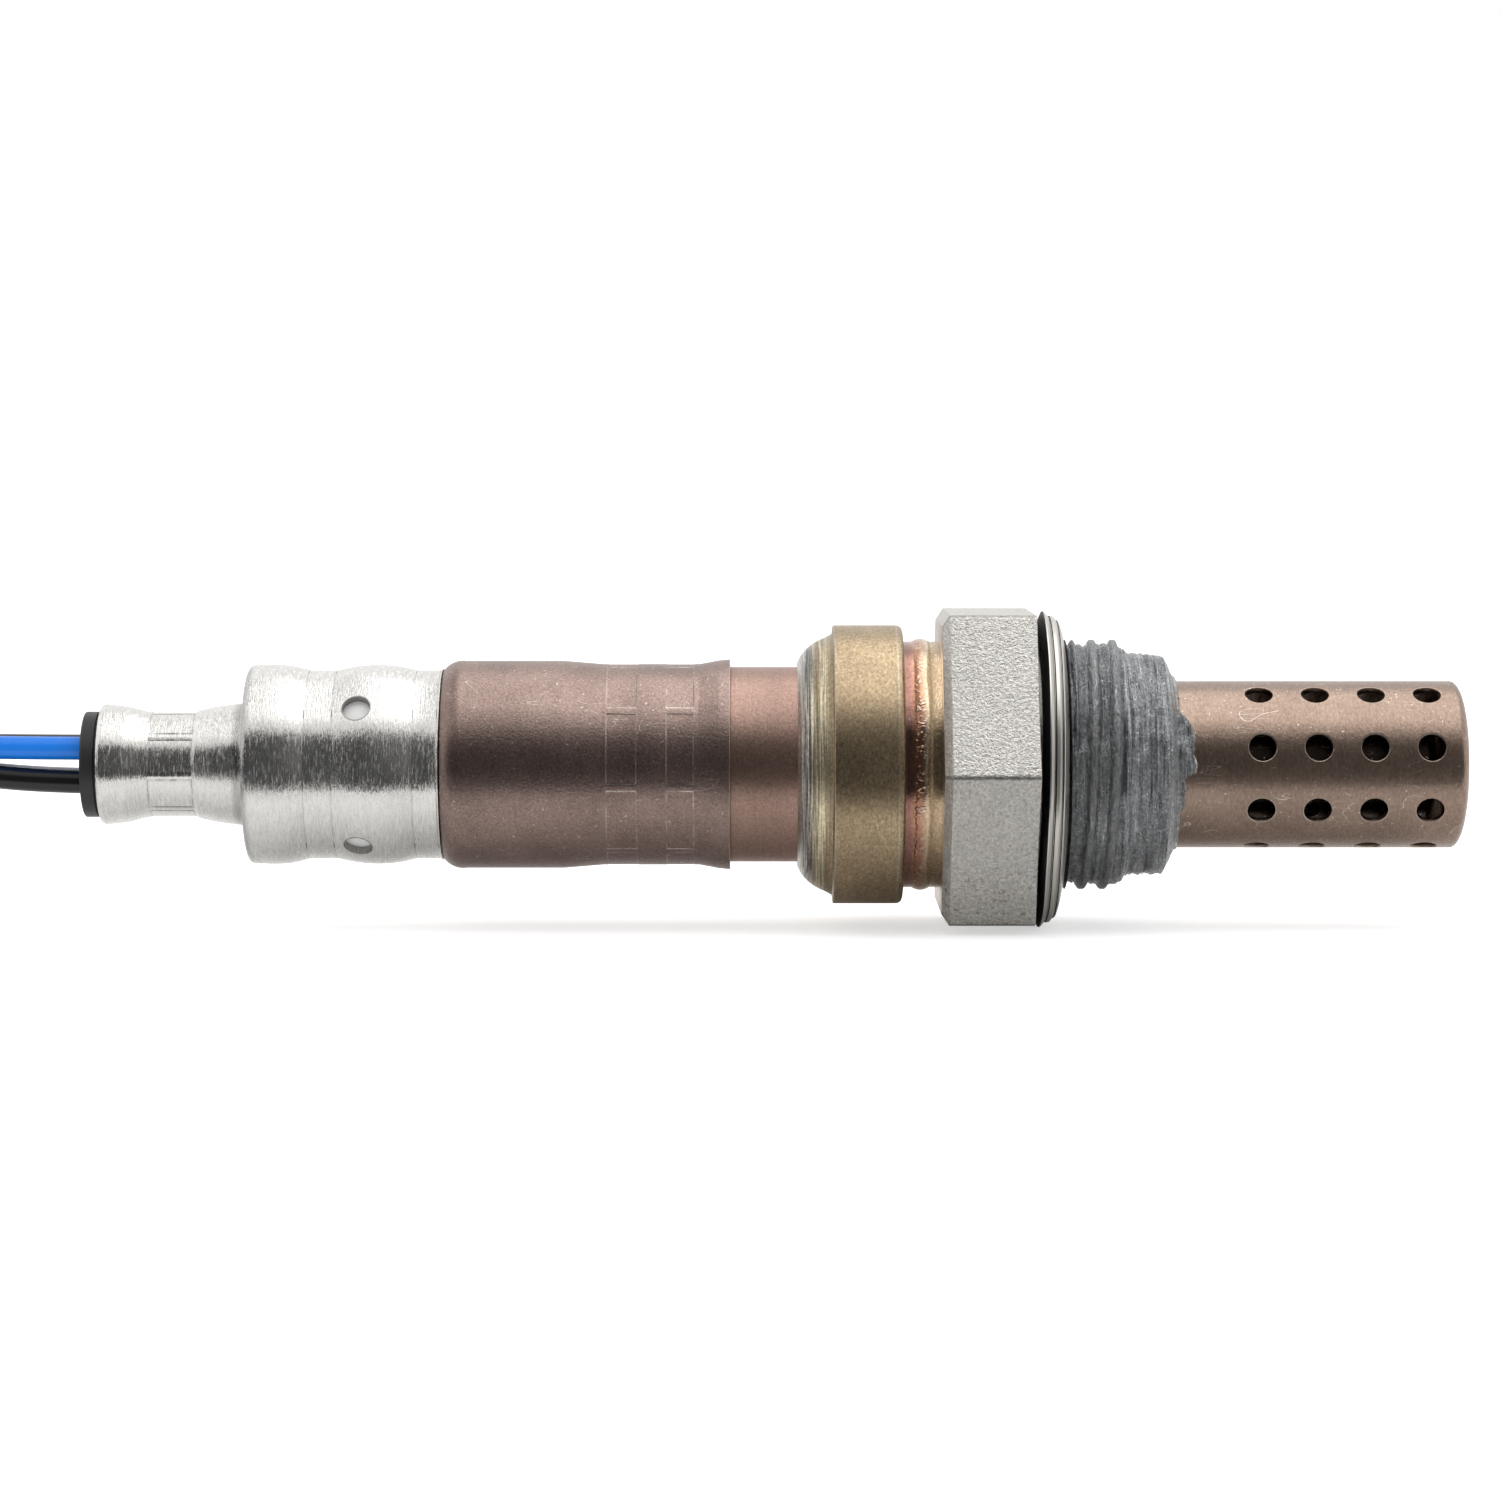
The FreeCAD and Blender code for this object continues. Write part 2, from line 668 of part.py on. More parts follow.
def heater():
    turned("heater_rod", [
        ("heater_back", "0"),
        ("heater_back", "heater_radius"),
        ("heater_tip - 0.4", "heater_radius"),
        ("heater_tip", "heater_radius - 0.4"),
        ("heater_tip", "0"),
    ])


def packed_ring(label, back, front, bore, radius):
    turned(label, [(back, bore), (front, bore), (front, radius), (back, radius)])


def packing():
    """What the crimped lip presses on the thimble's flange: powder, bush and ring."""
    inside, outside = "element_barrel_radius + slip_gap", "stack_radius - slip_gap"
    packed_ring("powder_seal", "powder_back", "element_flange_back", inside, outside)
    packed_ring("shell_bush", "bush_back", "powder_back", inside, outside)
    packed_ring("crimp_ring", "cover_flange_front", "crimp_ring_front", inside, "cover_flange_radius")


def main_cover():
    """The tube whose flange is clamped under the lip. It narrows at the back, where the vents are."""
    slope = "0.3"
    body = turned("main_cover", [
        ("cover_flange_front", "cover_bore"),
        ("cover_flange_front", "cover_flange_radius"),
        ("cover_flange_back", "cover_flange_radius"),
        ("cover_flange_back", "cover_radius + 0.2", "0.2", "in"),
        ("cover_flange_back - 0.2", "cover_radius"),
        (f"first_crimp_front + {slope}", "cover_radius"),
        ("first_crimp_front", "crimp_bore - press_gap"),
        ("waist_back", "crimp_bore - press_gap"),
        (f"waist_back - {slope}", "cover_radius"),
        ("cover_shoulder_front", "cover_radius"),
        ("cover_shoulder_back", "cover_tail_radius"),
        ("cover_back", "cover_tail_radius"),
        ("cover_back", "cover_tail_bore"),
        ("cover_shoulder_back + 0.2", "cover_tail_bore"),
        ("cover_shoulder_front + 0.2", "cover_bore"),
        (f"waist_back - {slope}", "cover_bore"),
        ("waist_back", "crimp_bore - press_gap - cover_wall"),
        ("first_crimp_front", "crimp_bore - press_gap - cover_wall"),
        (f"first_crimp_front + {slope}", "cover_bore"),
    ])
    drill_rows(body, ["vent_centre"], "vent_radius", "cover_radius + 1", "vent_count", "vent_shift")
    turn_body(body, "jaw_turn")


def heat_sleeve():
    """The brown sleeve, crimped on the main cover by two bands of eight jaws."""
    body = turned("heat_sleeve", [
        ("sleeve_front", "sleeve_bore + sleeve_flare"),
        ("sleeve_front", "sleeve_radius + sleeve_flare"),
        ("sleeve_front - 0.9", "sleeve_radius + 0.3 * sleeve_flare"),
        ("first_crimp_front", "sleeve_waist_radius"),
        ("waist_back", "sleeve_waist_radius"),
        ("waist_back - sleeve_waist_slope", "sleeve_radius"),
        ("sleeve_back + sleeve_end_curve", "sleeve_radius", "sleeve_end_curve", "out"),
        ("sleeve_back", "sleeve_radius - sleeve_end_drop"),
        ("sleeve_back", "sleeve_radius - sleeve_end_drop - sleeve_wall"),
        ("cover_shoulder_front", "sleeve_bore"),
        ("waist_back - 0.3", "sleeve_bore"),
        ("waist_back", "crimp_bore"),
        ("first_crimp_front", "crimp_bore"),
        ("first_crimp_front + 0.3", "sleeve_bore"),
    ])
    bands = (("first_crimp", "first_crimp_back", "first_crimp_front"),
             ("second_crimp", "second_crimp_back", "second_crimp_front"))
    for name, back, front in bands:
        press_jaws(body, name, back, front, "sleeve_crimp_radius", "sleeve_radius + 1")
    turn_body(body, "jaw_turn")


def filter_cover():
    """The silver cap with its two bulges, three jaw bands, four vents and the neck for the leads."""
    body = turned("filter_cover", [
        ("filter_cover_front", "waist_radius - filter_cover_wall + 0.15"),
        ("filter_cover_front", "waist_radius + 0.15"),
        ("rear_crimp_front", "waist_radius"),
        ("rear_crimp_back", "waist_radius", "bulge_curve", "out"),
        ("middle_crimp_front", "waist_radius"),
        ("middle_crimp_back", "waist_radius", "middle_curve", "out"),
        ("filter_cover_back + shoulder_round", "shoulder_radius", "shoulder_round", "out"),
        ("filter_cover_back", "shoulder_radius - shoulder_round"),
        ("filter_cover_back", "tube_neck_radius + neck_fillet", "neck_fillet", "in"),
        ("filter_cover_back - neck_fillet", "tube_neck_radius"),
        ("neck_crimp_front + neck_slope", "tube_neck_radius"),
        ("neck_crimp_front", "neck_crimp_radius"),
        ("neck_crimp_back", "neck_crimp_radius"),
        ("mouth_end + mouth_lip", "tube_neck_radius + mouth_flare"),
        ("mouth_end", "tube_neck_radius + mouth_flare - 0.1"),
        ("mouth_end", "tube_neck_bore"),
        ("neck_crimp_back - 1.2", "tube_neck_bore - 0.25"),
        ("neck_crimp_back", "neck_crimp_bore"),
        ("neck_crimp_front", "neck_crimp_bore"),
        ("neck_crimp_front + neck_slope", "tube_neck_bore"),
        ("filter_cover_back + filter_cover_wall", "tube_neck_bore"),
        ("filter_cover_back + filter_cover_wall", "shoulder_radius - shoulder_round",
         "shoulder_round - filter_cover_wall", "out"),
        ("filter_cover_back + shoulder_round", "shoulder_bore"),
        ("middle_crimp_back", "waist_bore"),
        ("middle_crimp_front", "waist_bore", "bulge_curve", "out"),
        ("rear_crimp_back", "waist_bore"),
        ("rear_crimp_front", "waist_bore"),
    ])
    bands = (("rear_crimp", "rear_crimp_back", "rear_crimp_front", "waist_radius"),
             ("middle_crimp", "middle_crimp_back", "middle_crimp_front", "waist_radius"),
             ("neck_crimp", "neck_crimp_back", "neck_crimp_front", "neck_crimp_radius"))
    for name, back, front, radius in bands:
        press_jaws(body, name, back, front, f"{radius} - jaw_depth", f"{radius} + jaw_depth")
    drill_rows(body, ["vent_centre"], "vent_radius", "bulge_radius + 1", "vent_count", "vent_shift")
    turn_body(body, "jaw_turn")
    packed_ring("filter_membrane", "filter_back", "filter_front", "filter_bore", "filter_radius")


def lead_sides():
    """Each lead's name, with the side and the height that its place in the bundle has."""
    return (("blue_lead", -1, 1), ("black_lead_back", 1, 1),
            ("black_lead_front", -1, -1), ("white_lead", 1, -1))


def grommet():
    """The rubber bush in the neck, with a hole for each lead."""
    body = turned("grommet", [
        ("grommet_face", "0"),
        ("grommet_face", "grommet_flange_radius - grommet_flange_round", "grommet_flange_round", "out"),
        ("grommet_face + grommet_flange_round", "grommet_flange_radius"),
        ("grommet_step", "grommet_flange_radius"),
        ("grommet_step", "grommet_step_radius"),
        ("mouth_end + mouth_lip", "grommet_step_radius"),
        ("neck_crimp_back - 1.2", "grommet_radius + 0.15"),
        ("neck_crimp_back", "grommet_radius"),
        ("grommet_front", "grommet_radius"),
        ("grommet_front", "0"),
    ])
    sketch = new_sketch(body, "lead_holes", "YZ_Plane", "grommet_face")
    for _, side, height in lead_sides():
        across, up = f"{side} * grommet_spread", f"{height} * grommet_spread"
        add_circle(sketch, across, up, "wire_radius + wire_gap")
    extrude(body, sketch, "grommet_length + 1", "Pocket", reverse=True)


def rear_insulator():
    """The ceramic block that keeps the four terminals apart, and the cone spring behind its flange."""
    body = turned("rear_insulator", [
        ("insulator_back", "0"),
        ("insulator_back", "insulator_radius"),
        ("insulator_flange_back", "insulator_radius"),
        ("insulator_flange_back", "insulator_flange_radius"),
        ("-insulator_flange_place", "insulator_flange_radius"),
        ("-insulator_flange_place", "insulator_radius"),
        ("-insulator_front", "insulator_radius"),
        ("-insulator_front", "0"),
    ])
    sketch = new_sketch(body, "terminal_bores", "YZ_Plane", "insulator_back")
    for _, side, height in lead_sides():
        add_circle(sketch, f"{side} * terminal_spread", f"{height} * terminal_spread", "insulator_bore_radius")
    extrude(body, sketch, "insulator_length + 1", "Pocket", reverse=True)
    turned("insulator_spring", [
        ("insulator_flange_back", "insulator_radius + slip_gap"),
        ("insulator_flange_back", "insulator_radius + 0.5"),
        ("cover_shoulder_front + 0.5", "cover_bore - slip_gap"),
        ("cover_shoulder_front + 0.5 - spring_thickness", "cover_bore - slip_gap"),
    ])


def fused_boxes(label, base, blocks, side, height):
    """A contact made of a turned or flat base and straight strips towards its terminal's corner."""
    angle = math.degrees(math.atan2(height, side))
    shape = base
    for back, front, low, high in blocks:
        width = amount("contact_strip_width")
        box = Part.makeBox(front - back, high - low, width, Vector(back, low, -width / 2))
        box.rotate(Vector(), Vector(1, 0, 0), angle)
        shape = box if shape is None else shape.fuse(box)
    piece = document.addObject("Part::Feature", label)
    piece.Label = label
    piece.Shape = shape.removeSplitter()
    pieces.append(piece)


def tube_shape(back, front, bore, radius):
    axis = Vector(1, 0, 0)
    start = Vector(back, 0, 0)
    outer = Part.makeCylinder(radius, front - back, start, axis)
    return outer.cut(Part.makeCylinder(bore, front - back, start, axis))


def contacts():
    """Sleeves on the thimble, inside and outside, and pads on the heater, each with a strip to its lead."""
    gap, wall, strip = amount("slip_gap"), amount("contact_wall"), amount("contact_strip_thickness")
    back, front = amount("element_back"), -amount("terminal_front")
    reach = math.hypot(amount("terminal_spread"), amount("terminal_spread"))
    low, high = reach - strip / 2, reach + strip / 2
    grip = amount("contact_grip")
    ring_back = back - gap - wall
    tab_back = ring_back - gap - strip
    sleeve = amount("heater_radius") + gap
    inner = tube_shape(tab_back, back + grip, sleeve, sleeve + wall)
    strips = [(tab_back, tab_back + strip, sleeve + wall / 2, high), (front, tab_back + strip, low, high)]
    fused_boxes("inner_contact", inner, strips, -1, 1)
    barrel = amount("element_barrel_radius") + gap
    outer = tube_shape(ring_back, back + grip, barrel, barrel + wall)
    outer = outer.fuse(tube_shape(ring_back, back - gap, reach - 1, barrel + wall))
    fused_boxes("outer_contact", outer, [(front, back - gap, low, high)], 1, -1)
    for label, side, height in (("heater_contact_back", 1, 1), ("heater_contact_front", -1, -1)):
        pad = (front, front + 1.5 * strip, amount("heater_radius") + gap / 2, high)
        fused_boxes(label, None, [pad], side, height)


def terminals():
    """A pin in each bore of the insulator, ending in the barrel that is crimped on the lead."""
    for name, side, height in lead_sides():
        body = new_body(name.replace("lead", "terminal"))
        sketch = new_sketch(body, body.Name + "_pin", "YZ_Plane", "-terminal_front")
        place = (f"{side} * terminal_spread", f"{height} * terminal_spread")
        add_circle(sketch, *place, "terminal_radius")
        extrude(body, sketch, "-terminal_front - insulator_back", reverse=True)
        sketch = new_sketch(body, body.Name + "_barrel", "YZ_Plane", "insulator_back")
        add_circle(sketch, *place, "terminal_barrel_radius")
        extrude(body, sketch, "terminal_barrel_length", reverse=True)


def anti_seize_paste():
    """The thick ring of paste round the nose, up against the outer tube."""
    turned("anti_seize_paste", [
        ("thread_end", "pilot_radius + slip_gap"),
        ("nose_end - nose_bevel", "pilot_radius + slip_gap"),
        ("nose_end + slip_gap", "pilot_radius - nose_bevel"),
        ("nose_end + slip_gap", "outer_tube_radius + slip_gap"),
        ("nose_end + paste_reach", "outer_tube_radius + slip_gap"),
        ("nose_end + paste_reach", "outer_tube_radius + paste_foot", "paste_curve", "out"),
        ("nose_end - nose_bevel", "paste_shoulder_radius"),
        ("thread_end", "paste_radius"),
    ])


def rounded_path(points):
    """Straight runs joined by tangent arcs, each as large as its shorter run allows."""
    edges = []
    radii = []
    start = points[0]
    for before, corner, after in zip(points, points[1:], points[2:]):
        incoming, outgoing = (corner - before), (after - corner)
        shorter = min(incoming.Length, outgoing.Length)
        half_turn = incoming.getAngle(outgoing) / 2
        setback = 0.45 * shorter
        incoming.normalize()
        outgoing.normalize()
        first, last = corner - incoming * setback, corner + outgoing * setback
        radius = setback / math.tan(half_turn)
        bisector = (outgoing - incoming).normalize()
        middle = corner + bisector * (radius / math.cos(half_turn) - radius)
        edges.append(Part.LineSegment(start, first).toShape())
        edges.append(Part.Arc(first, middle, last).toShape())
        radii.append(radius)
        start = last
    edges.append(Part.LineSegment(start, points[-1]).toShape())
    return Part.Wire(edges), radii


def wire_tube(label, points):
    """A round lead along the points, checked against its section times its length."""
    path, radii = rounded_path(points)
    section = Part.Wire(Part.makeCircle(amount("wire_radius"), points[0], points[1] - points[0]))
    shape = path.makePipeShell([section], True, True)
    wanted = path.Length * math.pi * amount("wire_radius") ** 2
    if abs(shape.Volume / wanted - 1) > 0.01:
        raise RuntimeError(f"{label} holds {shape.Volume:.1f} mm3 in place of {wanted:.1f}")
    print(f"{label}: {path.Length:.1f} mm, smallest radius {min(radii):.1f} mm")
    piece = document.addObject("Part::Feature", label)
    piece.Label = label
    piece.Shape = shape
    pieces.append(piece)


# The middle of the bundle of leads from the terminals to the hank: place, side, level and spread.
LEAD_ROUTE = (
    ("terminal_back", "0", "0", "terminal_spread"),
    ("grommet_front + 1.5", "0", "0", "grommet_spread"),
    ("grommet_face - 2", "0", "0", "grommet_spread"),
    ("grommet_face - 9", "0.4", "0.35", "bundle_spread + 0.1"),
    ("grommet_face - 16", "3.5", "-0.4", "bundle_spread"),
    ("grommet_face - 22.5", "7.8", "-1.9", "bundle_spread"),
    ("lead_in_length + 6.5 - hank_place", "fold_radius", "entry_level", "bundle_spread"),
    ("lead_in_length - hank_place", "fold_radius", "entry_level", "bundle_spread"),
)

# The same from the hank to the terminals in the plug.
TAIL_ROUTE = (
    ("-hank_place - hank_end - lead_out_length", "fold_radius", "lower_turn_level", "bundle_spread"),
    ("-hank_place - hank_end - lead_out_length - 6.5", "fold_radius", "lower_turn_level", "bundle_spread"),
    ("-hank_place - hank_end - lead_out_length - 13.5", "7.6", "lower_turn_level + 1.9", "bundle_spread + 0.5"),
    ("-plug_place + 8", "5", "plug_level - 0.4", "plug_spread - 0.2"),
    ("-plug_place + 1.5", "plug_side", "plug_level", "plug_spread"),
    ("seal_bore_end", "plug_side", "plug_level", "plug_spread"),
)


def route_points(route, side, height):
    points = []
    for place, across, up, spread in route:
        reach = amount(spread)
        points.append(Vector(amount(place), amount(across) + side * reach, amount(up) + height * reach))
    return points


def leads():
    """Four leads from the terminals to the hank, and from the hank to the plug."""
    for name, side, height in lead_sides():
        wire_tube(name, route_points(LEAD_ROUTE, side, height))
        wire_tube(name + "_tail", route_points(TAIL_ROUTE, side, height))


def add_loop_outline(sketch, radius):
    """Two straight runs and the two half-round folds that join them."""
    add_outline(sketch, [
        ("hank_end", radius),
        ("-hank_end", radius, radius, "out"),
        (f"-hank_end - ({radius})", "0", radius, "in"),
        ("-hank_end", f"-({radius})"),
        ("hank_end", f"-({radius})", radius, "in"),
        (f"hank_end + {radius}", "0", radius, "out"),
    ])


def coil():
    """Two turns of the folded bundle, one on the other. It comes in over the top and leaves along the floor."""
    body = new_body("lead_coil")
    inside, outside = "fold_radius - bundle_width / 2", "fold_radius + bundle_width / 2"
    way_out = "-hank_end - lead_out_length"
    lower = new_sketch(body, "lower_turn", "XY_Plane", "hank_floor")
    add_outline(lower, [
        ("hank_end", outside),
        (way_out, outside),
        (way_out, inside),
        ("-hank_end - sqrt(2 * fold_radius * bundle_width)", inside, outside, "in"),
        ("-hank_end", f"-({outside})"),
        ("hank_end", f"-({outside})", outside, "in"),
        (f"hank_end + {outside}", "0", outside, "out"),
    ])
    add_loop_outline(lower, inside)
    upper = new_sketch(body, "upper_turn", "XY_Plane", "hank_floor + bundle_width")
    add_loop_outline(upper, outside)
    add_loop_outline(upper, inside)
    entry = new_sketch(body, "entry", "XY_Plane", "hank_floor + hank_height")
    add_box_outline(entry, "-entry_lap", "lead_in_length", inside, outside)
    for sketch in (lower, upper, entry):
        layer = extrude(body, sketch, "bundle_width")
        layer.Refine = False
    body.setExpression("Placement.Base.x", bound("-hank_place"))


def coil_tie():
    """A cable tie round both turns, with its head inside the loop."""
    body = new_body("coil_tie")
    inside, outside = "(bundle_width / 2 + tie_gap)", "(bundle_width / 2 + tie_gap + tie_thickness)"
    low, high = "hank_floor - tie_thickness", "hank_floor + hank_height + tie_gap + tie_thickness"
    sketch = new_sketch(body, "tie_band", "YZ_Plane")
    add_box_outline(sketch, f"-fold_radius - {outside}", f"-fold_radius + {outside}", low, high)
    add_box_outline(sketch, f"-fold_radius - {inside}", f"-fold_radius + {inside}",
                    "hank_floor", "hank_floor + hank_height + tie_gap")
    extrude(body, sketch, "tie_width", both_ways=True)
    sketch = new_sketch(body, "tie_head", "YZ_Plane")
    add_box_outline(sketch, f"-fold_radius + {inside} + 0.1", f"-fold_radius + {outside} + tie_head_height",
                    "lower_turn_level", "lower_turn_level + tie_head_length")
    extrude(body, sketch, "tie_width + 1.6", both_ways=True)
    sketch = new_sketch(body, "tie_tail", "YZ_Plane")
    edge = f"-fold_radius + {outside} + tie_head_height / 2"
    add_box_outline(sketch, f"{edge} - 0.9", edge, "lower_turn_level + 1",
                    "lower_turn_level + tie_head_length + tie_tail_length")
    extrude(body, sketch, "tie_width", both_ways=True)
    body.setExpression("Placement.Base.x", bound("-hank_place"))


def plug_block(body, name, front, length, width, height, level="0"):
    """A block of the plug, its middle on the plug's own axis, reaching back from front."""
    sketch = new_sketch(body, name, "YZ_Plane", front)
    add_box_outline(sketch, f"-({width}) / 2", f"({width}) / 2",
                    f"{level} - ({height}) / 2", f"{level} + ({height}) / 2")
    return extrude(body, sketch, length, reverse=True)


def plug_corners():
    return [(name, f"{side} * plug_spread", f"{height} * plug_spread") for name, side, height in lead_sides()]


def place_plug_piece(body):
    body.setExpression("Placement.Base.y", bound("plug_side"))
    body.setExpression("Placement.Base.z", bound("plug_level"))


def long_edges(shape, low, high):
    """The edges that run along the plug between two places."""
    names = []
    for number, edge in enumerate(shape.Edges, start=1):
        box = edge.BoundBox
        if abs(box.XMin - low) < 1e-4 and abs(box.XMax - high) < 1e-4:
            names.append(f"Edge{number}")
    return names


def plug_housing():
    """The moulded plug: a ribbed back for the leads, a nose for the socket and a latch arm on top."""
    body = new_body("plug_housing")
    plug_block(body, "plug_back", "-plug_place", "plug_back_length", "plug_back_width", "plug_back_height")
    plug_block(body, "plug_nose", "plug_back_end", "plug_nose_length", "plug_nose_width", "plug_nose_height")
    document.recompute()
    rounds = body.newObject("PartDesign::Fillet", "plug_rounds")
    base = body.Group[-2]
    rounds.Base = (base, long_edges(base.Shape, amount("plug_nose_end"), amount("plug_back_end"))
                   + long_edges(base.Shape, amount("plug_back_end"), -amount("plug_place")))
    rounds.setExpression("Radius", bound("plug_round"))
    ribs = new_sketch(body, "plug_ribs", "YZ_Plane", "-plug_place - 3")
    for side in (-1, 1):
        middle = f"{side} * plug_back_width / 4"
        add_box_outline(ribs, f"{middle} - plug_rib_width / 2", f"{middle} + plug_rib_width / 2",
                        "-plug_back_height / 2 - plug_rib_height", "-plug_back_height / 2 + 0.5")
    extrude(body, ribs, "plug_back_length - 3", reverse=True)
    latch_level = "plug_back_height / 2 + latch_gap + latch_thickness / 2"
    root = "plug_back_height / 2 + latch_gap / 2"
    plug_block(body, "latch_root", "-plug_place - 5", "3", "latch_width", "latch_gap + latch_thickness", root)
    plug_block(body, "latch_arm", "-plug_place - 1", "latch_reach + 8", "latch_width",
               "latch_thickness", latch_level)
    plug_block(body, "latch_pad", "-plug_place - 1", "latch_pad_length", "latch_width + 1.6",
               "latch_thickness + latch_pad_rise", f"{latch_level} + latch_pad_rise / 2")
    plug_block(body, "latch_catch", "-plug_place - latch_reach - 5", "2", "latch_width",
               "latch_thickness + 1.2", f"{latch_level} + 0.6")
    bores = new_sketch(body, "seal_bores", "YZ_Plane", "-plug_place")
    for _, across, up in plug_corners():
        add_circle(bores, across, up, "seal_bore_radius")
    extrude(body, bores, "seal_bore_depth", "Pocket")
    cavities = new_sketch(body, "terminal_cavities", "YZ_Plane", "seal_bore_end + 0.1")
    for _, across, up in plug_corners():
        add_box_outline(cavities, f"{across} - socket_width / 2", f"{across} + socket_width / 2",
                        f"{up} - socket_width / 2", f"{up} + socket_width / 2")
    extrude(body, cavities, "plug_back_length + plug_nose_length", "Pocket")
    place_plug_piece(body)


def plug_trim():
    """The ring seal round the nose and the retainer plate on its end."""
    ring = new_body("plug_ring_seal")
    width, height = "plug_nose_width + 2 * slip_gap", "plug_nose_height + 2 * slip_gap"
    sketch = new_sketch(ring, "ring_seal_outline", "YZ_Plane", "plug_back_end")
    add_box_outline(sketch, f"-({width}) / 2 - ring_seal_rise", f"({width}) / 2 + ring_seal_rise",
                    f"-({height}) / 2 - ring_seal_rise", f"({height}) / 2 + ring_seal_rise")
    add_box_outline(sketch, f"-({width}) / 2", f"({width}) / 2", f"-({height}) / 2", f"({height}) / 2")
    extrude(ring, sketch, "ring_seal_width", reverse=True)
    place_plug_piece(ring)
    retainer = new_body("plug_retainer")
    plug_block(retainer, "retainer_plate", "plug_nose_end", "retainer_thickness",
               "plug_nose_width", "plug_nose_height")
    holes = new_sketch(retainer, "retainer_holes", "YZ_Plane", "plug_nose_end")
    for _, across, up in plug_corners():
        add_box_outline(holes, f"{across} - retainer_hole_width / 2", f"{across} + retainer_hole_width / 2",
                        f"{up} - retainer_hole_width / 2", f"{up} + retainer_hole_width / 2")
    extrude(retainer, holes, "retainer_thickness + 1", "Pocket")
    place_plug_piece(retainer)


def lead_seals_and_sockets():
    """In each bore of the plug a ribbed rubber seal on the lead, and the terminal crimped on its end."""
    for name, across, up in plug_corners():
        seal = turned(name.replace("lead", "seal"), [
            ("-plug_place - seal_inset", "wire_radius + wire_gap"),
            ("-plug_place - seal_inset", "seal_bore_radius - seal_rib_height - slip_gap"),
            ("-plug_place - seal_inset - 0.3 * seal_length", "seal_bore_radius - slip_gap"),
            ("-plug_place - seal_inset - 0.5 * seal_length", "seal_bore_radius - seal_rib_height - slip_gap"),
            ("-plug_place - seal_inset - 0.7 * seal_length", "seal_bore_radius - slip_gap"),
            ("-plug_place - seal_inset - seal_length", "seal_bore_radius - seal_rib_height - slip_gap"),
            ("-plug_place - seal_inset - seal_length", "wire_radius + wire_gap"),
        ])
        socket = new_body(name.replace("lead", "socket"))
        barrel = new_sketch(socket, socket.Name + "_barrel", "YZ_Plane", "seal_bore_end")
        add_circle(barrel, "0", "0", "socket_barrel_radius")
        extrude(socket, barrel, "socket_barrel_length", reverse=True)
        start = "seal_bore_end - socket_barrel_length"
        plug_block(socket, socket.Name + "_box", start, "socket_terminal_length",
                   "socket_terminal_width", "socket_terminal_width")
        for body in (seal, socket):
            body.setExpression("Placement.Base.y", bound(f"plug_side + {across}"))
            body.setExpression("Placement.Base.z", bound(f"plug_level + {up}"))


def check_document():
    """Stops where an object failed or a piece has no sound solid."""
    for item in document.Objects:
        if "Invalid" in item.State or "Error" in item.State:
            raise RuntimeError(f"{item.Name} failed: {item.State}")
    for piece in pieces:
        if piece.Shape.isNull() or not piece.Shape.isValid() or piece.Shape.Volume <= 0:
            raise RuntimeError(f"{piece.Label} has no sound shape")


def main():
    fill_sheet()
    for make in (shell, sealing_ring, tip_tubes, sensing_element, heater, packing, main_cover,
                 heat_sleeve, filter_cover, grommet, rear_insulator, contacts, terminals,
                 anti_seize_paste, leads, coil, coil_tie, plug_housing, plug_trim,
                 lead_seals_and_sockets):
        make()
    document.recompute()
    check_document()
    os.makedirs("parts", exist_ok=True)
    for piece in pieces:
        piece.Shape.exportStep(f"parts/{piece.Label}.step")
    print(f"{len(pieces)} pieces")


main()
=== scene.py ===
import math

import bmesh
import bpy
from bpy.props import FloatProperty, FloatVectorProperty, IntProperty, PointerProperty
from bpy.types import Operator, Panel, PropertyGroup
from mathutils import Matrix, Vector, noise


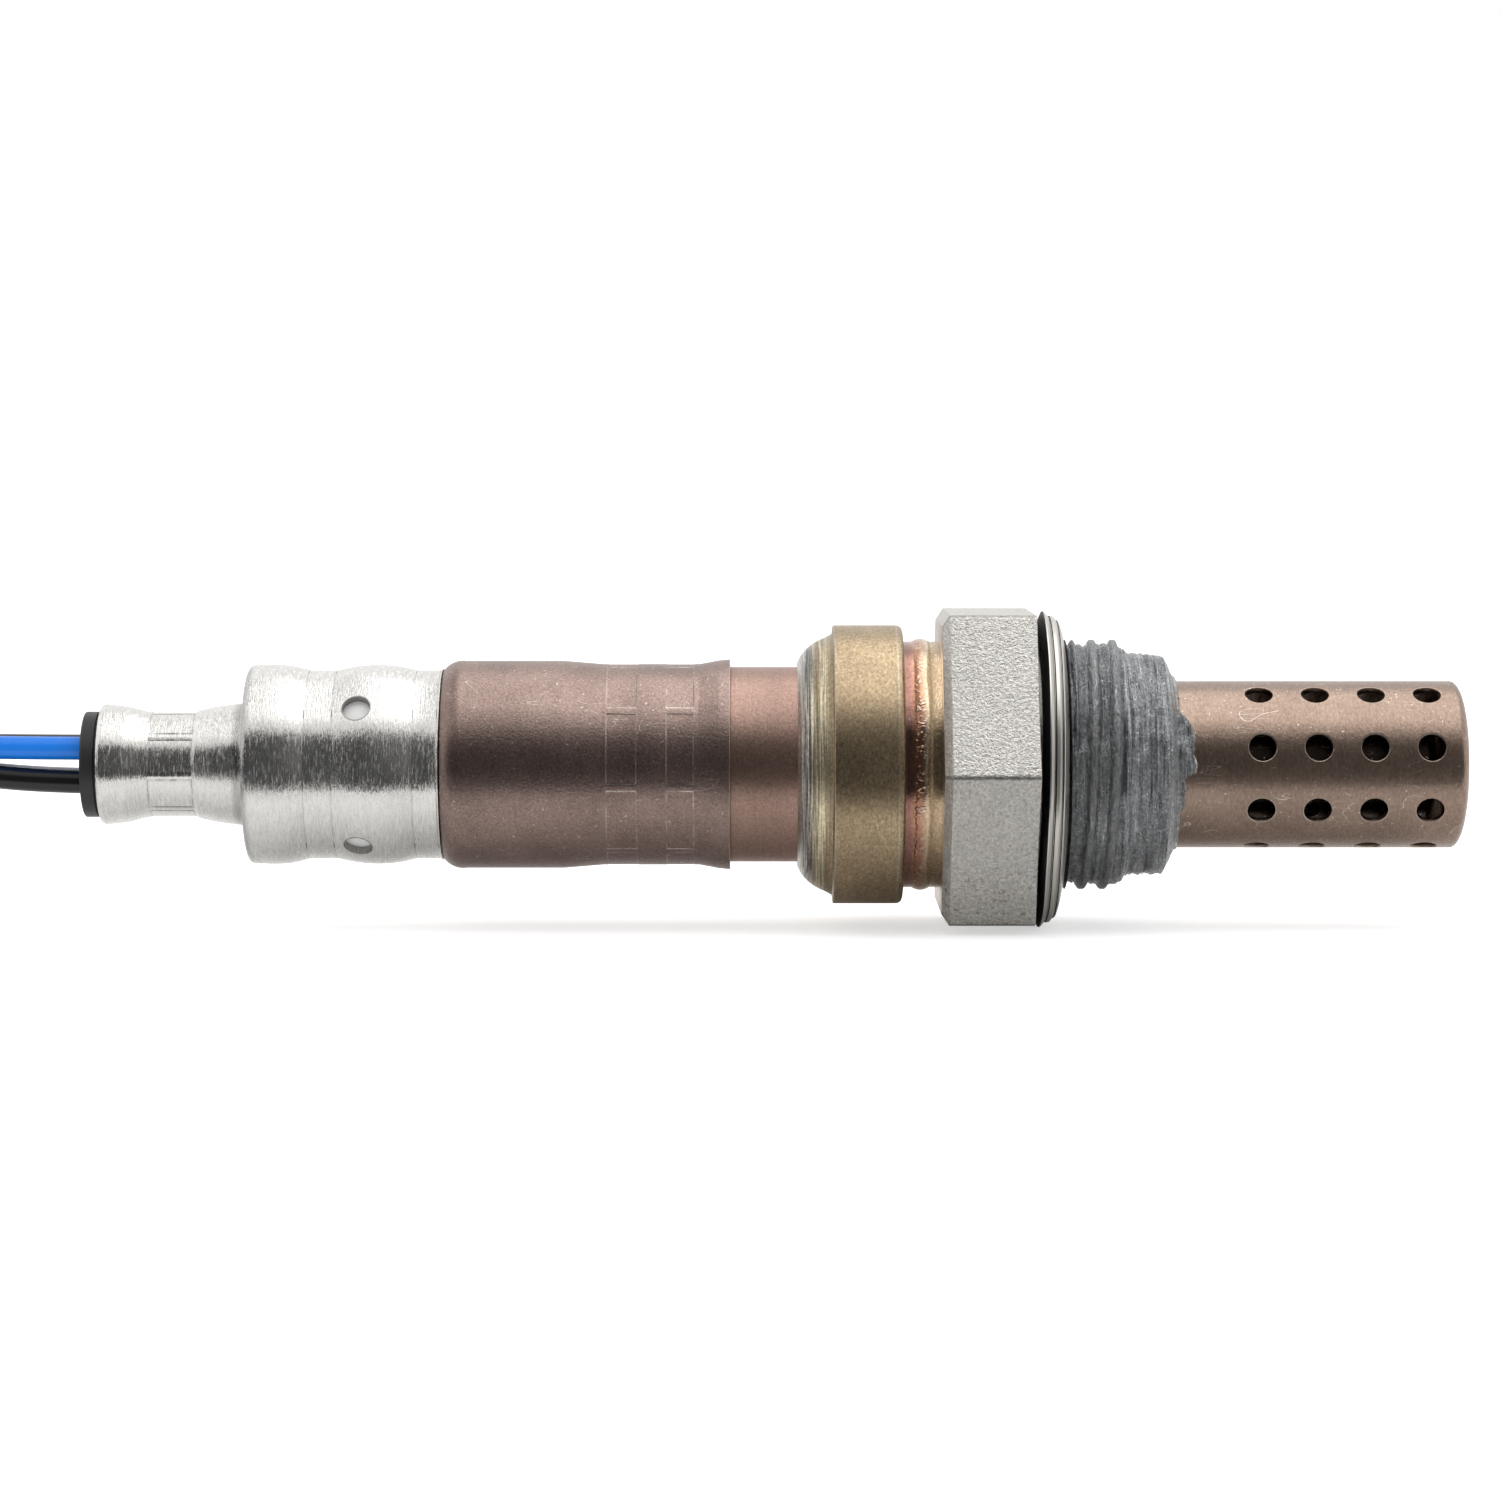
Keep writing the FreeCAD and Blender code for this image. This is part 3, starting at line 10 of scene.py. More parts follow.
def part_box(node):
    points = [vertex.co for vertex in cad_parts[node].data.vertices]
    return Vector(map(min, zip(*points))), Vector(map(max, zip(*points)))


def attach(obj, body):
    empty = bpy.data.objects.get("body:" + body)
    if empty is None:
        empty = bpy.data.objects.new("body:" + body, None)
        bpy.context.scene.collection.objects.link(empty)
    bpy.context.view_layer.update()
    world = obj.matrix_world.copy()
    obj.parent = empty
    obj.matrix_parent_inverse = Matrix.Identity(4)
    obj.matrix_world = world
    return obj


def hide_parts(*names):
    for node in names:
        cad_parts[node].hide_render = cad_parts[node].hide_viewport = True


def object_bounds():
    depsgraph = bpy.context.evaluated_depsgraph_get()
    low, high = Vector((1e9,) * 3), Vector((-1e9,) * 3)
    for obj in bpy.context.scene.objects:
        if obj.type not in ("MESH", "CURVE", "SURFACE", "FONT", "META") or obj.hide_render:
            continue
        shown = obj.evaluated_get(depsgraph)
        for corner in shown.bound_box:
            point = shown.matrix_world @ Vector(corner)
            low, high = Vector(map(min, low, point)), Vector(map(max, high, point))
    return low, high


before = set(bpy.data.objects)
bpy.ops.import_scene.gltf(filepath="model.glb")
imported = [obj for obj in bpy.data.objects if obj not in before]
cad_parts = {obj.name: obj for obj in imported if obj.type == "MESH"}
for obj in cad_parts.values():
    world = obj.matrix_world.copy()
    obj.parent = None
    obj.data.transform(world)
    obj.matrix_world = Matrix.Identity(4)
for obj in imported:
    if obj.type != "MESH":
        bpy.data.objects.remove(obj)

bl_info = {
    "name": "Oxygen Sensor Dressing",
    "version": (1, 0, 0),
    "blender": (4, 5, 0),
    "location": "3D View > Sidebar > Oxygen Sensor",
    "description": "Builds the visible metal, rubber, paste and leads of an oxygen sensor, and its studio",
    "category": "Object",
}

CAD_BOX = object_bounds()
MM = 0.001
LEAD_PLACES = {"blue_lead": (-1, 1), "black_lead_back": (1, 1),
               "black_lead_front": (-1, -1), "white_lead": (1, -1)}

# Places along the sensor in millimetres, from the front of the hexagon, and angles in degrees, from the
# viewer's side up. A band is the stretch that one ring of jaws presses.
SLEEVE_BANDS = [(-30.05, -27.95), (-25.85, -23.95)]
COVER_BANDS = [(-43.65, -41.89), (-51.27, -49.25), (-62.46, -59.36)]
VENT_PLACE, VENT_TURN = -47.56, 38.8
TIP_RADIUS, TIP_ROW, TIP_ROW_STEP, TIP_TURN = 5.93, 15.87, 3.95, 16
GROMMET_REAR, GROMMET_STEP = -67.3, 1.22
HANK_CENTRE, HANK_LEVELS, HANK_STEP = -109.0, (-9.415, -6.065, -2.715), 0.84


# Sizes and colours that a user would change

def colour_property(name, description, red, green, blue):
    """A colour given as it would be written on a screen, from 0 to 255."""
    linear = [((value / 255 + 0.055) / 1.055) ** 2.4 if value > 10 else value / 255 / 12.92
              for value in (red, green, blue)]
    return FloatVectorProperty(name=name, description=description, subtype="COLOR", size=3,
                               min=0.0, max=1.0, default=linear)


def length_property(name, description, millimetres):
    return FloatProperty(name=name, description=description, default=millimetres * MM, unit="LENGTH")


def angle_property(name, description, degrees):
    return FloatProperty(name=name, description=description, default=math.radians(degrees), unit="ROTATION")


def brightness_property(name, description, value):
    return FloatProperty(name=name, description=description, default=value, min=0.0)


class SensorSizes(PropertyGroup):
    thread_pitch: length_property("Thread pitch", "Distance from one crest of the thread to the next", 1.5)
    thread_depth: length_property("Thread depth", "Height of the thread's crest over its root", 0.8)
    edge_round: length_property("Edge rounding", "Radius of the turned edges", 0.12)
    jaw_depth: length_property("Jaw depth", "How deep the crimping jaws press into a cover", 0.02)
    jaw_gap: angle_property("Jaw gap", "Angle of the thin line that stands between two jaws", 4.0)
    jaw_turn: angle_property("Jaw turn", "Angle of the first line between two jaws above the front", 36.0)
    tip_hole: length_property("Tip hole radius", "Radius of the holes in the outer tube at the tip", 0.975)
    vent: length_property("Vent radius", "Radius of the vents in the filter cover", 0.98)
    lead_diameter: length_property("Lead diameter", "Diameter over the insulation of one lead", 1.65)
    fold_radius: length_property("Fold radius", "Radius at the middle of the hank's folds", 10.2)
    hank_run: length_property("Hank run", "Length of the straight runs of the hank", 25.0)
    hank_turns: IntProperty(
        name="Hank turns", description="Turns of the leads in the hank", default=2, min=2, max=2)


class SensorColours(PropertyGroup):
    silver: colour_property("Silver cover", "Satin stainless steel of the filter cover", 232, 230, 226)
    brown: colour_property("Heat sleeve", "Brown oxide of the heat sleeve", 155, 134, 126)
    copper: colour_property("Main cover", "Copper heat tint of the main cover", 172, 143, 130)
    brass: colour_property("Collar", "Brassy heat tint of the shell's collar", 182, 161, 130)
    hexagon: colour_property("Hexagon", "Plain steel of the hexagon", 206, 203, 197)
    bronze: colour_property("Tip tube", "Bronze heat tint of the perforated tube", 157, 136, 122)
    paste: colour_property("Paste", "Grey metallic anti-seize paste", 184, 186, 188)
    rubber: colour_property("Grommet", "Black rubber of the grommet", 38, 38, 40)
    blue: colour_property("Blue lead", "Insulation of the blue lead", 15, 128, 238)
    black: colour_property("Black leads", "Insulation of the two black leads", 20, 20, 21)
    white: colour_property("White lead", "Insulation of the white lead", 236, 236, 234)


class StudioSettings(PropertyGroup):
    camera_distance: length_property("Camera distance", "From the camera to the sensor's axis", 320.0)
    camera_height: angle_property("Camera height", "Angle at which the camera looks down", 4.2)
    frame_width: length_property("Frame width", "Width of the picture at the sensor's axis", 106.8)
    softbox: brightness_property("Softbox", "Brightness of the softbox over the sensor", 1.13)
    surround: brightness_property("Surround", "Brightness of the room around the sensor", 0.7)
    flag: brightness_property("Flag", "Brightness of the dark flags that the metal mirrors", 0.066)
    grey_flag: brightness_property("Grey flag", "Brightness of the grey flags on the side of the tip", 0.17)
    scrim: brightness_property("Scrim", "Brightness of the softbox as the silver cover mirrors it", 0.7)


# Shapes

def around(place, radius, angle):
    """A point in metres from millimetres. The angle rises from the viewer's side, -Y, towards +Z."""
    return Vector((place, -radius * math.cos(angle), radius * math.sin(angle))) * MM


def even_angles(count):
    return [2 * math.pi * number / count for number in range(count)]


def with_angles(angles, extra):
    """The angles with the extra ones put in, each once."""
    full = 2 * math.pi
    kept = sorted(angle % full for angle in extra)
    rest = [angle for angle in angles
            if all(abs((angle - other + math.pi) % full - math.pi) > 0.008 for other in kept)]
    return sorted(rest + kept)


def soft_step(value, low, high):
    part = min(1.0, max(0.0, (value - low) / (high - low)))
    return part * part * (3 - 2 * part)


def bowed(start, end, rise, steps=12):
    """Points from start to end on a shallow arc whose middle stands off by rise."""
    across, up = end[0] - start[0], end[1] - start[1]
    length = math.hypot(across, up)
    side = 1 if across < 0 else -1
    points = []
    for number in range(steps):
        part = number / steps
        stand = 4 * rise * part * (1 - part) * side / length
        points.append((start[0] + across * part + up * stand, start[1] + up * part - across * stand))
    return points


def eased(corners, steps=5):
    """A closed outline of (place, radius, rounding, rise of the stretch that follows)."""
    full = [tuple(corner) + (0.0,) * (4 - len(corner)) for corner in corners]
    outline = []
    for number, corner in enumerate(full):
        following = full[(number + 1) % len(full)]
        if corner[3]:
            stretch = bowed(corner[:2], following[:2], corner[3])
            outline.append((*stretch[0], corner[2]))
            outline += [(*point, 0.0) for point in stretch[1:]]
        else:
            outline.append(corner[:3])
    points = []
    for number, (place, radius, rounding) in enumerate(outline):
        if not rounding:
            points.append((place, radius))
            continue
        here = Vector((place, radius))
        before = Vector(outline[number - 1][:2]) - here
        after = Vector(outline[(number + 1) % len(outline)][:2]) - here
        half = before.angle(after) / 2
        reach = min(rounding / math.tan(half), 0.49 * before.length, 0.49 * after.length)
        first, last = here + before.normalized() * reach, here + after.normalized() * reach
        for step in range(steps + 1):
            part = step / steps
            curve = first * (1 - part) ** 2 + here * 2 * part * (1 - part) + last * part ** 2
            points.append((curve.x, curve.y))
    return points


def join_rings(bm, first, second):
    count = len(first)
    for number in range(count):
        after = (number + 1) % count
        bm.faces.new((first[number], first[after], second[after], second[number]))


def turned_skin(bm, outline, angles, shape=None):
    """A closed skin turned round the axis. shape bends each (place, radius, angle)."""
    rings = []
    for place, radius in outline:
        ring = []
        for angle in angles:
            at = (place, radius) if shape is None else shape(place, radius, angle)
            ring.append(bm.verts.new(around(*at, angle)))
        rings.append(ring)
    for number in range(len(rings)):
        join_rings(bm, rings[number - 1], rings[number])


def pierced_skin(bm, places, angles, surface, holes, radius, depths):
    """A skin with round holes. Each hole is (first row, first column, centre place, centre angle).

    depths are the hole's inner loops, as (distance outside the hole's wall, depth below the skin).
    Gives the skin's rings and, for each hole, its innermost loop.
    """
    rings = [[bm.verts.new(surface(place, angle, 0.0)) for angle in angles] for place in places]
    rows, columns, total = 8, 8, len(angles)
    covered = {(row + down, (column + across) % total)
               for row, column, _, _ in holes for down in range(rows) for across in range(columns)}
    for row in range(len(places) - 1):
        for column in range(total):
            if (row, column) not in covered:
                after = (column + 1) % total
                bm.faces.new((rings[row][column], rings[row][after],
                              rings[row + 1][after], rings[row + 1][column]))
    inner_loops = []
    for row, column, centre_place, centre_angle in holes:
        edge = [(row, column + n) for n in range(columns)]
        edge += [(row + n, column + columns) for n in range(rows)]
        edge += [(row + rows, column + columns - n) for n in range(columns)]
        edge += [(row + rows - n, column) for n in range(rows)]
        loop = [rings[r][c % total] for r, c in edge]
        scale = surface(centre_place, centre_angle, 0.0).yz.length / MM
        flat = []
        for r, c in edge:
            turn = (angles[c % total] - centre_angle + math.pi) % (2 * math.pi) - math.pi
            flat.append(Vector((places[r] - centre_place, turn * scale)))
        steps = [(part, None) for part in (0.35, 0.65, 0.88)] + [(None, depth) for depth in depths]
        for part, depth in steps:
            ring = []
            for point in flat:
                rim = point.normalized() * (radius + (depths[0][0] if depth is None else depth[0]))
                at = rim if depth is not None else point.lerp(rim, part)
                sunk = 0.0 if depth is None else depth[1]
                ring.append(bm.verts.new(surface(centre_place + at.x, centre_angle + at.y / scale, sunk)))
            join_rings(bm, loop, ring)
            loop = ring
        inner_loops.append(loop)
    return rings, inner_loops


def make_piece(name, bm, material, replaced, sharp):
    """Turns the mesh into a piece that rides on the sensor and stands for a CAD node."""
    bmesh.ops.remove_doubles(bm, verts=bm.verts, dist=1e-7)
    bmesh.ops.recalc_face_normals(bm, faces=bm.faces)
    mesh = bpy.data.meshes.new(name)
    bm.to_mesh(mesh)
    bm.free()
    mesh.shade_smooth()
    mesh.set_sharp_from_angle(angle=math.radians(sharp))
    mesh.materials.append(material)
    piece = bpy.data.objects.new(name, mesh)
    bpy.context.scene.collection.objects.link(piece)
    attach(piece, "root")
    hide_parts(replaced)
    return piece


def turned_piece(name, outline, angles, material, replaced, sharp, shape=None):
    bm = bmesh.new()
    turned_skin(bm, outline, angles, shape)
    return make_piece(name, bm, material, replaced, sharp)


def dress_node(name, material):
    """Gives a CAD node a material of this scene."""
    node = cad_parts[name]
    for slot in node.material_slots:
        slot.material = material
    if not node.material_slots:
        node.data.materials.append(material)


# Material effects that several finishes share

class Value:
    """What a node gives. Arithmetic on it adds maths nodes."""

    def __init__(self, tree, socket):
        self.tree, self.socket = tree, socket

    def __add__(self, other):
        return self.tree.math("ADD", self, other)

    def __sub__(self, other):
        return self.tree.math("SUBTRACT", self, other)

    def __rsub__(self, other):
        return self.tree.math("SUBTRACT", other, self)

    def __mul__(self, other):
        return self.tree.math("MULTIPLY", self, other)

    __radd__, __rmul__ = __add__, __mul__


class Node:
    """A node that gives its outputs as values, by name or number."""

    def __init__(self, tree, node):
        self.tree, self.inputs, self.outputs = tree, node.inputs, node.outputs

    def __getitem__(self, name):
        return Value(self.tree, self.outputs[name])


class Tree:
    """Adds and joins the nodes of one material or group."""

    def __init__(self, tree):
        self.tree = tree

    def feed(self, socket, value):
        if isinstance(value, Value):
            self.tree.links.new(value.socket, socket)
        elif socket.type == "RGBA":
            socket.default_value = (*value[:3], 1.0)
        else:
            socket.default_value = value

    def node(self, kind, inputs=None, **settings):
        node = self.tree.nodes.new(kind)
        for name, value in settings.items():
            setattr(node, name, value)
        for name, value in (inputs or {}).items():
            self.feed(node.inputs[name], value)
        return Node(self, node)

    def math(self, operation, *values):
        return self.node("ShaderNodeMath", dict(enumerate(values)), operation=operation)[0]

    def most(self, first, *rest):
        """The greatest of several values."""
        for value in rest:
            first = self.math("MAXIMUM", first, value)
        return first

    def span(self, value, low, high, to_low=0.0, to_high=1.0, smooth=True):
        """Maps low to high onto to_low to to_high, and holds the ends."""
        return self.node("ShaderNodeMapRange", {
            "Value": value, "From Min": low, "From Max": high, "To Min": to_low, "To Max": to_high},
            interpolation_type="SMOOTHSTEP" if smooth else "LINEAR")[0]

    def coats(self, colour, *coats):
        """Lays coats over a colour. Each is (how much of it shows, its colour)."""
        for factor, coat in coats:
            colour = self.node("ShaderNodeMix", {0: factor, 6: colour, 7: coat}, data_type="RGBA")[2]
        return colour

    def noise(self, vector, scale, detail, roughness):
        return self.node("ShaderNodeTexNoise", {"Vector": vector, "Scale": scale, "Detail": detail,
                                                "Roughness": roughness})[0]

    def object_place(self):
        return self.node("ShaderNodeTexCoord")["Object"]

    def stretched(self, along, across):
        """Object coordinates with one scale along the sensor and another across it."""
        scales = self.node("ShaderNodeCombineXYZ", {"X": along, "Y": across, "Z": across})[0]
        return self.node("ShaderNodeVectorMath", {0: self.object_place(), 1: scales},
                         operation="MULTIPLY")[0]

    def spots(self, fineness, detail=3.0, roughness=0.5):
        return self.noise(self.object_place(), fineness, detail, roughness)

    def streaks(self, along, across, detail=3.0, roughness=0.5):
        return self.noise(self.stretched(along, across), 1.0, detail, roughness)

    def axes(self):
        """The place in the object, part by part."""
        return self.node("ShaderNodeSeparateXYZ", {"Vector": self.object_place()})

    def angle(self):
        """The angle round the axis, from the viewer's side up."""
        parts = self.axes()
        return self.math("ARCTAN2", parts["Z"], parts["Y"] * -1.0)

    def grained(self, colour, sparkle, amount):
        """The colour, lighter and darker from grain to grain."""
        return self.node("ShaderNodeVectorMath", {0: colour, "Scale": 1.0 + sparkle * amount},
                         operation="SCALE")[0]

    def effect(self, shared_group, **values):
        """A shared effect, with its own values."""
        inputs = {name.capitalize(): value for name, value in values.items()}
        return self.node("ShaderNodeGroup", inputs, node_tree=shared_group())

    def zone(self, back, front, softness):
        """1 between two places along the sensor, all in millimetres."""
        return self.effect(zone_effect, back=back * MM, front=front * MM, softness=softness * MM)["Zone"]

    def grain(self, lines, breaks):
        return self.effect(grain_effect, lines=lines, breaks=breaks)["Grain"]

    def speckle(self, fineness, cover):
        return self.effect(speckle_effect, fineness=fineness, cover=cover)

    def sparkle(self, along, across):
        return self.effect(sparkle_effect, along=along, across=across)["Sparkle"]

    def scratches(self, width, amount):
        return self.effect(scratch_effect, width=width, amount=amount)["Scratches"]

    def patches(self, size):
        return self.effect(patch_effect, size=size)["Patches"]

    def rims(self, first, pitch, hole, radius, turn, count):
        """Lines round the holes of a tube, in millimetres and degrees. hole, their radius, is in metres."""
        return self.effect(rim_effect, first=first * MM, pitch=pitch * MM, hole=hole, radius=radius * MM,
                           turn=math.radians(turn), half=math.pi / count)["Rim"]


class Material(Tree):
    """The nodes of a new material."""

    def __init__(self, name):
        self.material = bpy.data.materials.new(name)
        self.material.use_nodes = True
        super().__init__(self.material.node_tree)

    def surface(self, colour, roughness, height=None, depth=0.00001, **more):
        """Feeds the shader, with a bump of the given depth in metres, and gives the material."""
        shader = self.tree.nodes["Principled BSDF"]
        values = {"base_color": colour, "roughness": roughness, **more}
        if height is not None:
            values["normal"] = self.node("ShaderNodeBump", {"Height": height, "Distance": depth,
                                                            "Strength": 1.0})[0]
        for name, value in values.items():
            self.feed(shader.inputs[name.replace("_", " ").title().replace("Ior", "IOR")], value)
        return self.material


def new_group(name, outputs, inputs, build):
    """A node group with the nodes that build adds."""
    group = bpy.data.node_groups.new(name, "ShaderNodeTree")
    for label, value in inputs.items():
        socket = group.interface.new_socket(label.capitalize(), in_out="INPUT",
                                            socket_type="NodeSocketFloat")
        socket.default_value = value
    for label in outputs:
        group.interface.new_socket(label, in_out="OUTPUT", socket_type="NodeSocketFloat")
    tree = Tree(group)
    made = tree.node("NodeGroupOutput")
    for label, value in build(tree, tree.node("NodeGroupInput")).items():
        tree.feed(made.inputs[label], value)
    return group


def shared_effect(name, outputs, **inputs):
    """Makes a function that adds an effect's nodes into one that gives its node group, built once."""
    def wrap(build):
        def shared_group():
            return bpy.data.node_groups.get(name) or new_group(name, outputs, inputs, build)
        return shared_group
    return wrap


@shared_effect("Zone along the sensor", ["Zone"], back=0.0, front=0.01, softness=0.0002)
def zone_effect(tree, given):
    """1 between two places along the sensor, and 0 outside."""
    along, soft = tree.axes()["X"], given["Softness"]
    begun = tree.span(along, given["Back"] - soft, given["Back"] + soft)
    ended = tree.span(along, given["Front"] - soft, given["Front"] + soft)
    return {"Zone": begun * (1.0 - ended)}


@shared_effect("Grain round the axis", ["Grain"], lines=9000.0, breaks=90.0)
def grain_effect(tree, given):
    """Fine lines round the axis, as turning and brushing leave."""
    lines = tree.streaks(given["Lines"], given["Breaks"], 4.0, 0.6)
    waves = tree.streaks(given["Lines"] * 0.12, given["Breaks"], 2.0)
    return {"Grain": tree.span(lines * 0.7 + waves * 0.3, 0.3, 0.7, smooth=False)}


@shared_effect("Speckle", ["Speckle", "Height"], fineness=2500.0, cover=0.0)
def speckle_effect(tree, given):
    """Small pits and grains, as on blasted or cast metal."""
    coarse = tree.spots(given["Fineness"], 3.0, 0.55)
    pits = tree.spots(given["Fineness"] * 2.3, 2.0)
    mask = tree.span(coarse, 0.62 - given["Cover"], 0.72 - given["Cover"])
    return {"Speckle": mask, "Height": coarse * 0.7 + pits * 0.3}


@shared_effect("Sparkle", ["Sparkle"], along=9000.0, across=9000.0)
def sparkle_effect(tree, given):
    """Grains of light and dark, as fine as blasting leaves, from -1 to 1."""
    grains = tree.streaks(given["Along"], given["Across"], 2.0, 0.7)
    return {"Sparkle": tree.span(grains, 0.3, 0.7, -1.0, 1.0, smooth=False)}


@shared_effect("Scratches", ["Scratches"], width=0.006, amount=0.15)
def scratch_effect(tree, given):
    """A few thin scratches that run along and across the sensor."""
    marks = []
    for along, across, shift in ((90.0, 900.0, 0.0), (260.0, 420.0, 5.0)):
        shifted = tree.node("ShaderNodeVectorMath", {0: tree.stretched(along, across), 1: (shift,) * 3},
                            operation="ADD")[0]
        line = tree.math("ABSOLUTE", tree.noise(shifted, 1.0, 1.0, 0.4) - 0.5)
        marks.append(tree.span(line, given["Width"], given["Width"] * 0.3))
    here = tree.span(tree.spots(420.0, 2.0), 0.75 - given["Amount"], 0.82 - given["Amount"])
    return {"Scratches": tree.most(*marks) * here}


@shared_effect("Jaw marks", ["Edge", "Pressed"],
               back=0.0, front=0.0, radius=0.007, turn=0.63, gap=0.07, line=0.00007)
def jaw_effect(tree, given):
    """The marks of eight crimping jaws: what they pressed, and the fine edge round each mark."""
    along = tree.axes()["X"]
    off_line = tree.math("PINGPONG", tree.angle() - given["Turn"], math.pi / 8)
    across = (off_line - given["Gap"] * 0.5) * given["Radius"]
    ends = tree.math("MINIMUM", along - given["Back"], given["Front"] - along)
    inside = tree.math("MINIMUM", across, ends)
    uneven = tree.spots(900.0, 2.0) * 0.00003
    border = tree.math("ABSOLUTE", inside + (uneven - 0.000015))
    faint = tree.span(tree.spots(700.0), 0.34, 0.6, 0.1, 1.0)
    side = tree.span(ends - across, -0.00005, 0.00005, 0.5, 1.0)
    line = tree.span(border, given["Line"], given["Line"] * 0.3)
    return {"Edge": line * faint * side, "Pressed": tree.span(inside, -0.00003, 0.00006)}


@shared_effect("Hole rims", ["Rim"],
               first=0.0, pitch=0.004, hole=0.001, radius=0.006, turn=0.0, half=math.pi / 8)
def rim_effect(tree, given):
    """A thin line round each hole of a tube's even rows: bare metal round the tip tube's holes, painted
    shade round the silver cover's vents.
    """
    across = tree.math("PINGPONG", tree.angle() - given["Turn"], given["Half"]) * given["Radius"]
    aside = tree.math("PINGPONG", tree.axes()["X"] - given["First"], given["Pitch"] * 0.5)
    off = tree.math("SQRT", across * across + aside * aside)
    return {"Rim": tree.span(off, given["Hole"] + 0.00009, given["Hole"] + 0.00004)}


@shared_effect("Patches", ["Patches"], size=160.0)
def patch_effect(tree, given):
    """Soft clouds of tint."""
    return {"Patches": tree.span(tree.spots(given["Size"], 4.0, 0.6), 0.35, 0.68)}


def shade(colour, factor):
    return tuple(min(1.0, value * factor) for value in colour)


def colour_of(name):
    return tuple(getattr(bpy.context.scene.sensor_colours, name))


# Finishes of the sensor's pieces

def jaw_marks(tree, bands, radius, gap=1.0, line=0.00007):
    """The edges and the pressed depth of several bands of jaw marks together."""
    sizes = bpy.context.scene.sensor_sizes
    edge, pressed = 0.0, 0.0
    for back, front in bands:
        marks = tree.effect(jaw_effect, back=back * MM, front=front * MM, radius=radius * MM,
                            turn=sizes.jaw_turn, gap=sizes.jaw_gap * gap, line=line)
        edge, pressed = tree.most(edge, marks["Edge"]), tree.most(pressed, marks["Pressed"])
    return edge, pressed


def silver_finish():
    """Filter cover: satin steel, with painted shade as dark lines at its jaw bands, in its fold and round
    its vents.
    """
    tree, base, sizes = Material("brushed_silver"), colour_of("silver"), bpy.context.scene.sensor_sizes
    grain, patches = tree.grain(14000.0, 160.0), tree.patches(300.0)
    speckle, sparkle = tree.speckle(6200.0, 0.03), tree.sparkle(10000.0, 1300.0)
    # The jaw marks' edges and the short ticks at their lines are darkened below: painted shade in the
    # crimp's creases.
    edge, pressed = jaw_marks(tree, COVER_BANDS[2:], 3.7, gap=2.0, line=0.00012)
    tick = tree.span(tree.math("PINGPONG", tree.angle() - sizes.jaw_turn, math.pi / 8), 0.06, 0.035)
    for back, front in COVER_BANDS[:2]:
        band = tree.zone(back, front, 0.04)
        edge += (band - tree.zone(back + 0.07, front - 0.07, 0.03)) * (0.4 + tick)
        pressed += band * 0.5
    # The fold by the shoulder is darkened below: painted shade in the crease.
    fold = tree.zone(-56.4, -55.2, 0.3)
    # The dark line round each vent is painted shade at the vent's edge.
    vents = tree.rims(VENT_PLACE, 60.0, sizes.vent, 6.8, VENT_TURN, 4)
    colour = tree.coats(base, (grain * 0.3, shade(base, 0.8)),
                        (speckle["Speckle"] * 0.3, shade(base, 0.62)),
                        (fold * 0.55, shade(base, 0.34)), (vents * 0.75, shade(base, 0.25)),
                        (edge * 0.85, shade(base, 0.3)))
    rough = grain * 0.08 + (0.13 + patches * 0.08) + tree.span(sparkle, 0.1, 0.9, 0.0, 0.24)
    height = grain * 0.3 + speckle["Height"] * 0.14 + sparkle * 0.34 - pressed * 1.2
    return tree.surface(tree.grained(colour, sparkle, 0.15), rough, height, 0.000024, metallic=1.0)


def oxide_finish():
    """Brown heat sleeve: dark oxide with lighter wear along the scratches, and pale lines on the crimp's
    edges that are partly wear and partly painted highlight.
    """
    tree, base = Material("brown_oxide"), colour_of("brown")
    speckle, sparkle = tree.speckle(6800.0, 0.02), tree.sparkle(6200.0, 5600.0)
    edge, pressed = jaw_marks(tree, SLEEVE_BANDS, 7.1)
    worn = tree.span(tree.spots(2600.0, 2.0, 0.7), 0.36, 0.6, 0.2, 0.75)
    # The pale lines on the crimp's edges are partly wear and partly painted highlight.
    bare = tree.most(tree.scratches(0.0025, 0.2) * 0.6, edge * worn, tree.zone(-21.45, -21.34, 0.02) * 0.5,
                     tree.span(tree.spots(4600.0, 1.0), 0.71, 0.77) * 0.6)
    colour = tree.coats(base, (tree.patches(230.0) * 0.7, shade(base, 0.72)),
                        (tree.grain(7000.0, 900.0) * 0.3, shade(base, 0.74)),
                        (speckle["Speckle"] * 0.35, shade(base, 0.55)))
    colour = tree.coats(tree.grained(colour, sparkle, 0.26), (bare, (0.76, 0.7, 0.65)))
    height = speckle["Height"] + sparkle * 0.3 - pressed * 1.2
    return tree.surface(colour, 0.29 + speckle["Height"] * 0.14, height, 0.000014, metallic=1.0)


def copper_finish():
    """Main cover: copper tint, redder by the shell's lip."""
    tree, base = Material("copper_tint"), colour_of("copper")
    speckle, sparkle = tree.speckle(3600.0, 0.0), tree.sparkle(6000.0, 4600.0)
    grain = tree.grain(8000.0, 150.0)
    colour = tree.coats(base, (tree.patches(260.0) * 0.5, shade(base, 0.78)),
                        (grain * 0.35, shade(base, 0.7)),
                        (tree.grain(2600.0, 40.0) * 0.2, shade(base, 0.75)),
                        (tree.zone(-17.8, -15.0, 0.9) * 0.3, (0.45, 0.28, 0.24)))
    return tree.surface(tree.grained(colour, sparkle, 0.2), 0.35 + grain * 0.08,
                        speckle["Height"] + sparkle * 0.3, 0.000009, metallic=1.0)


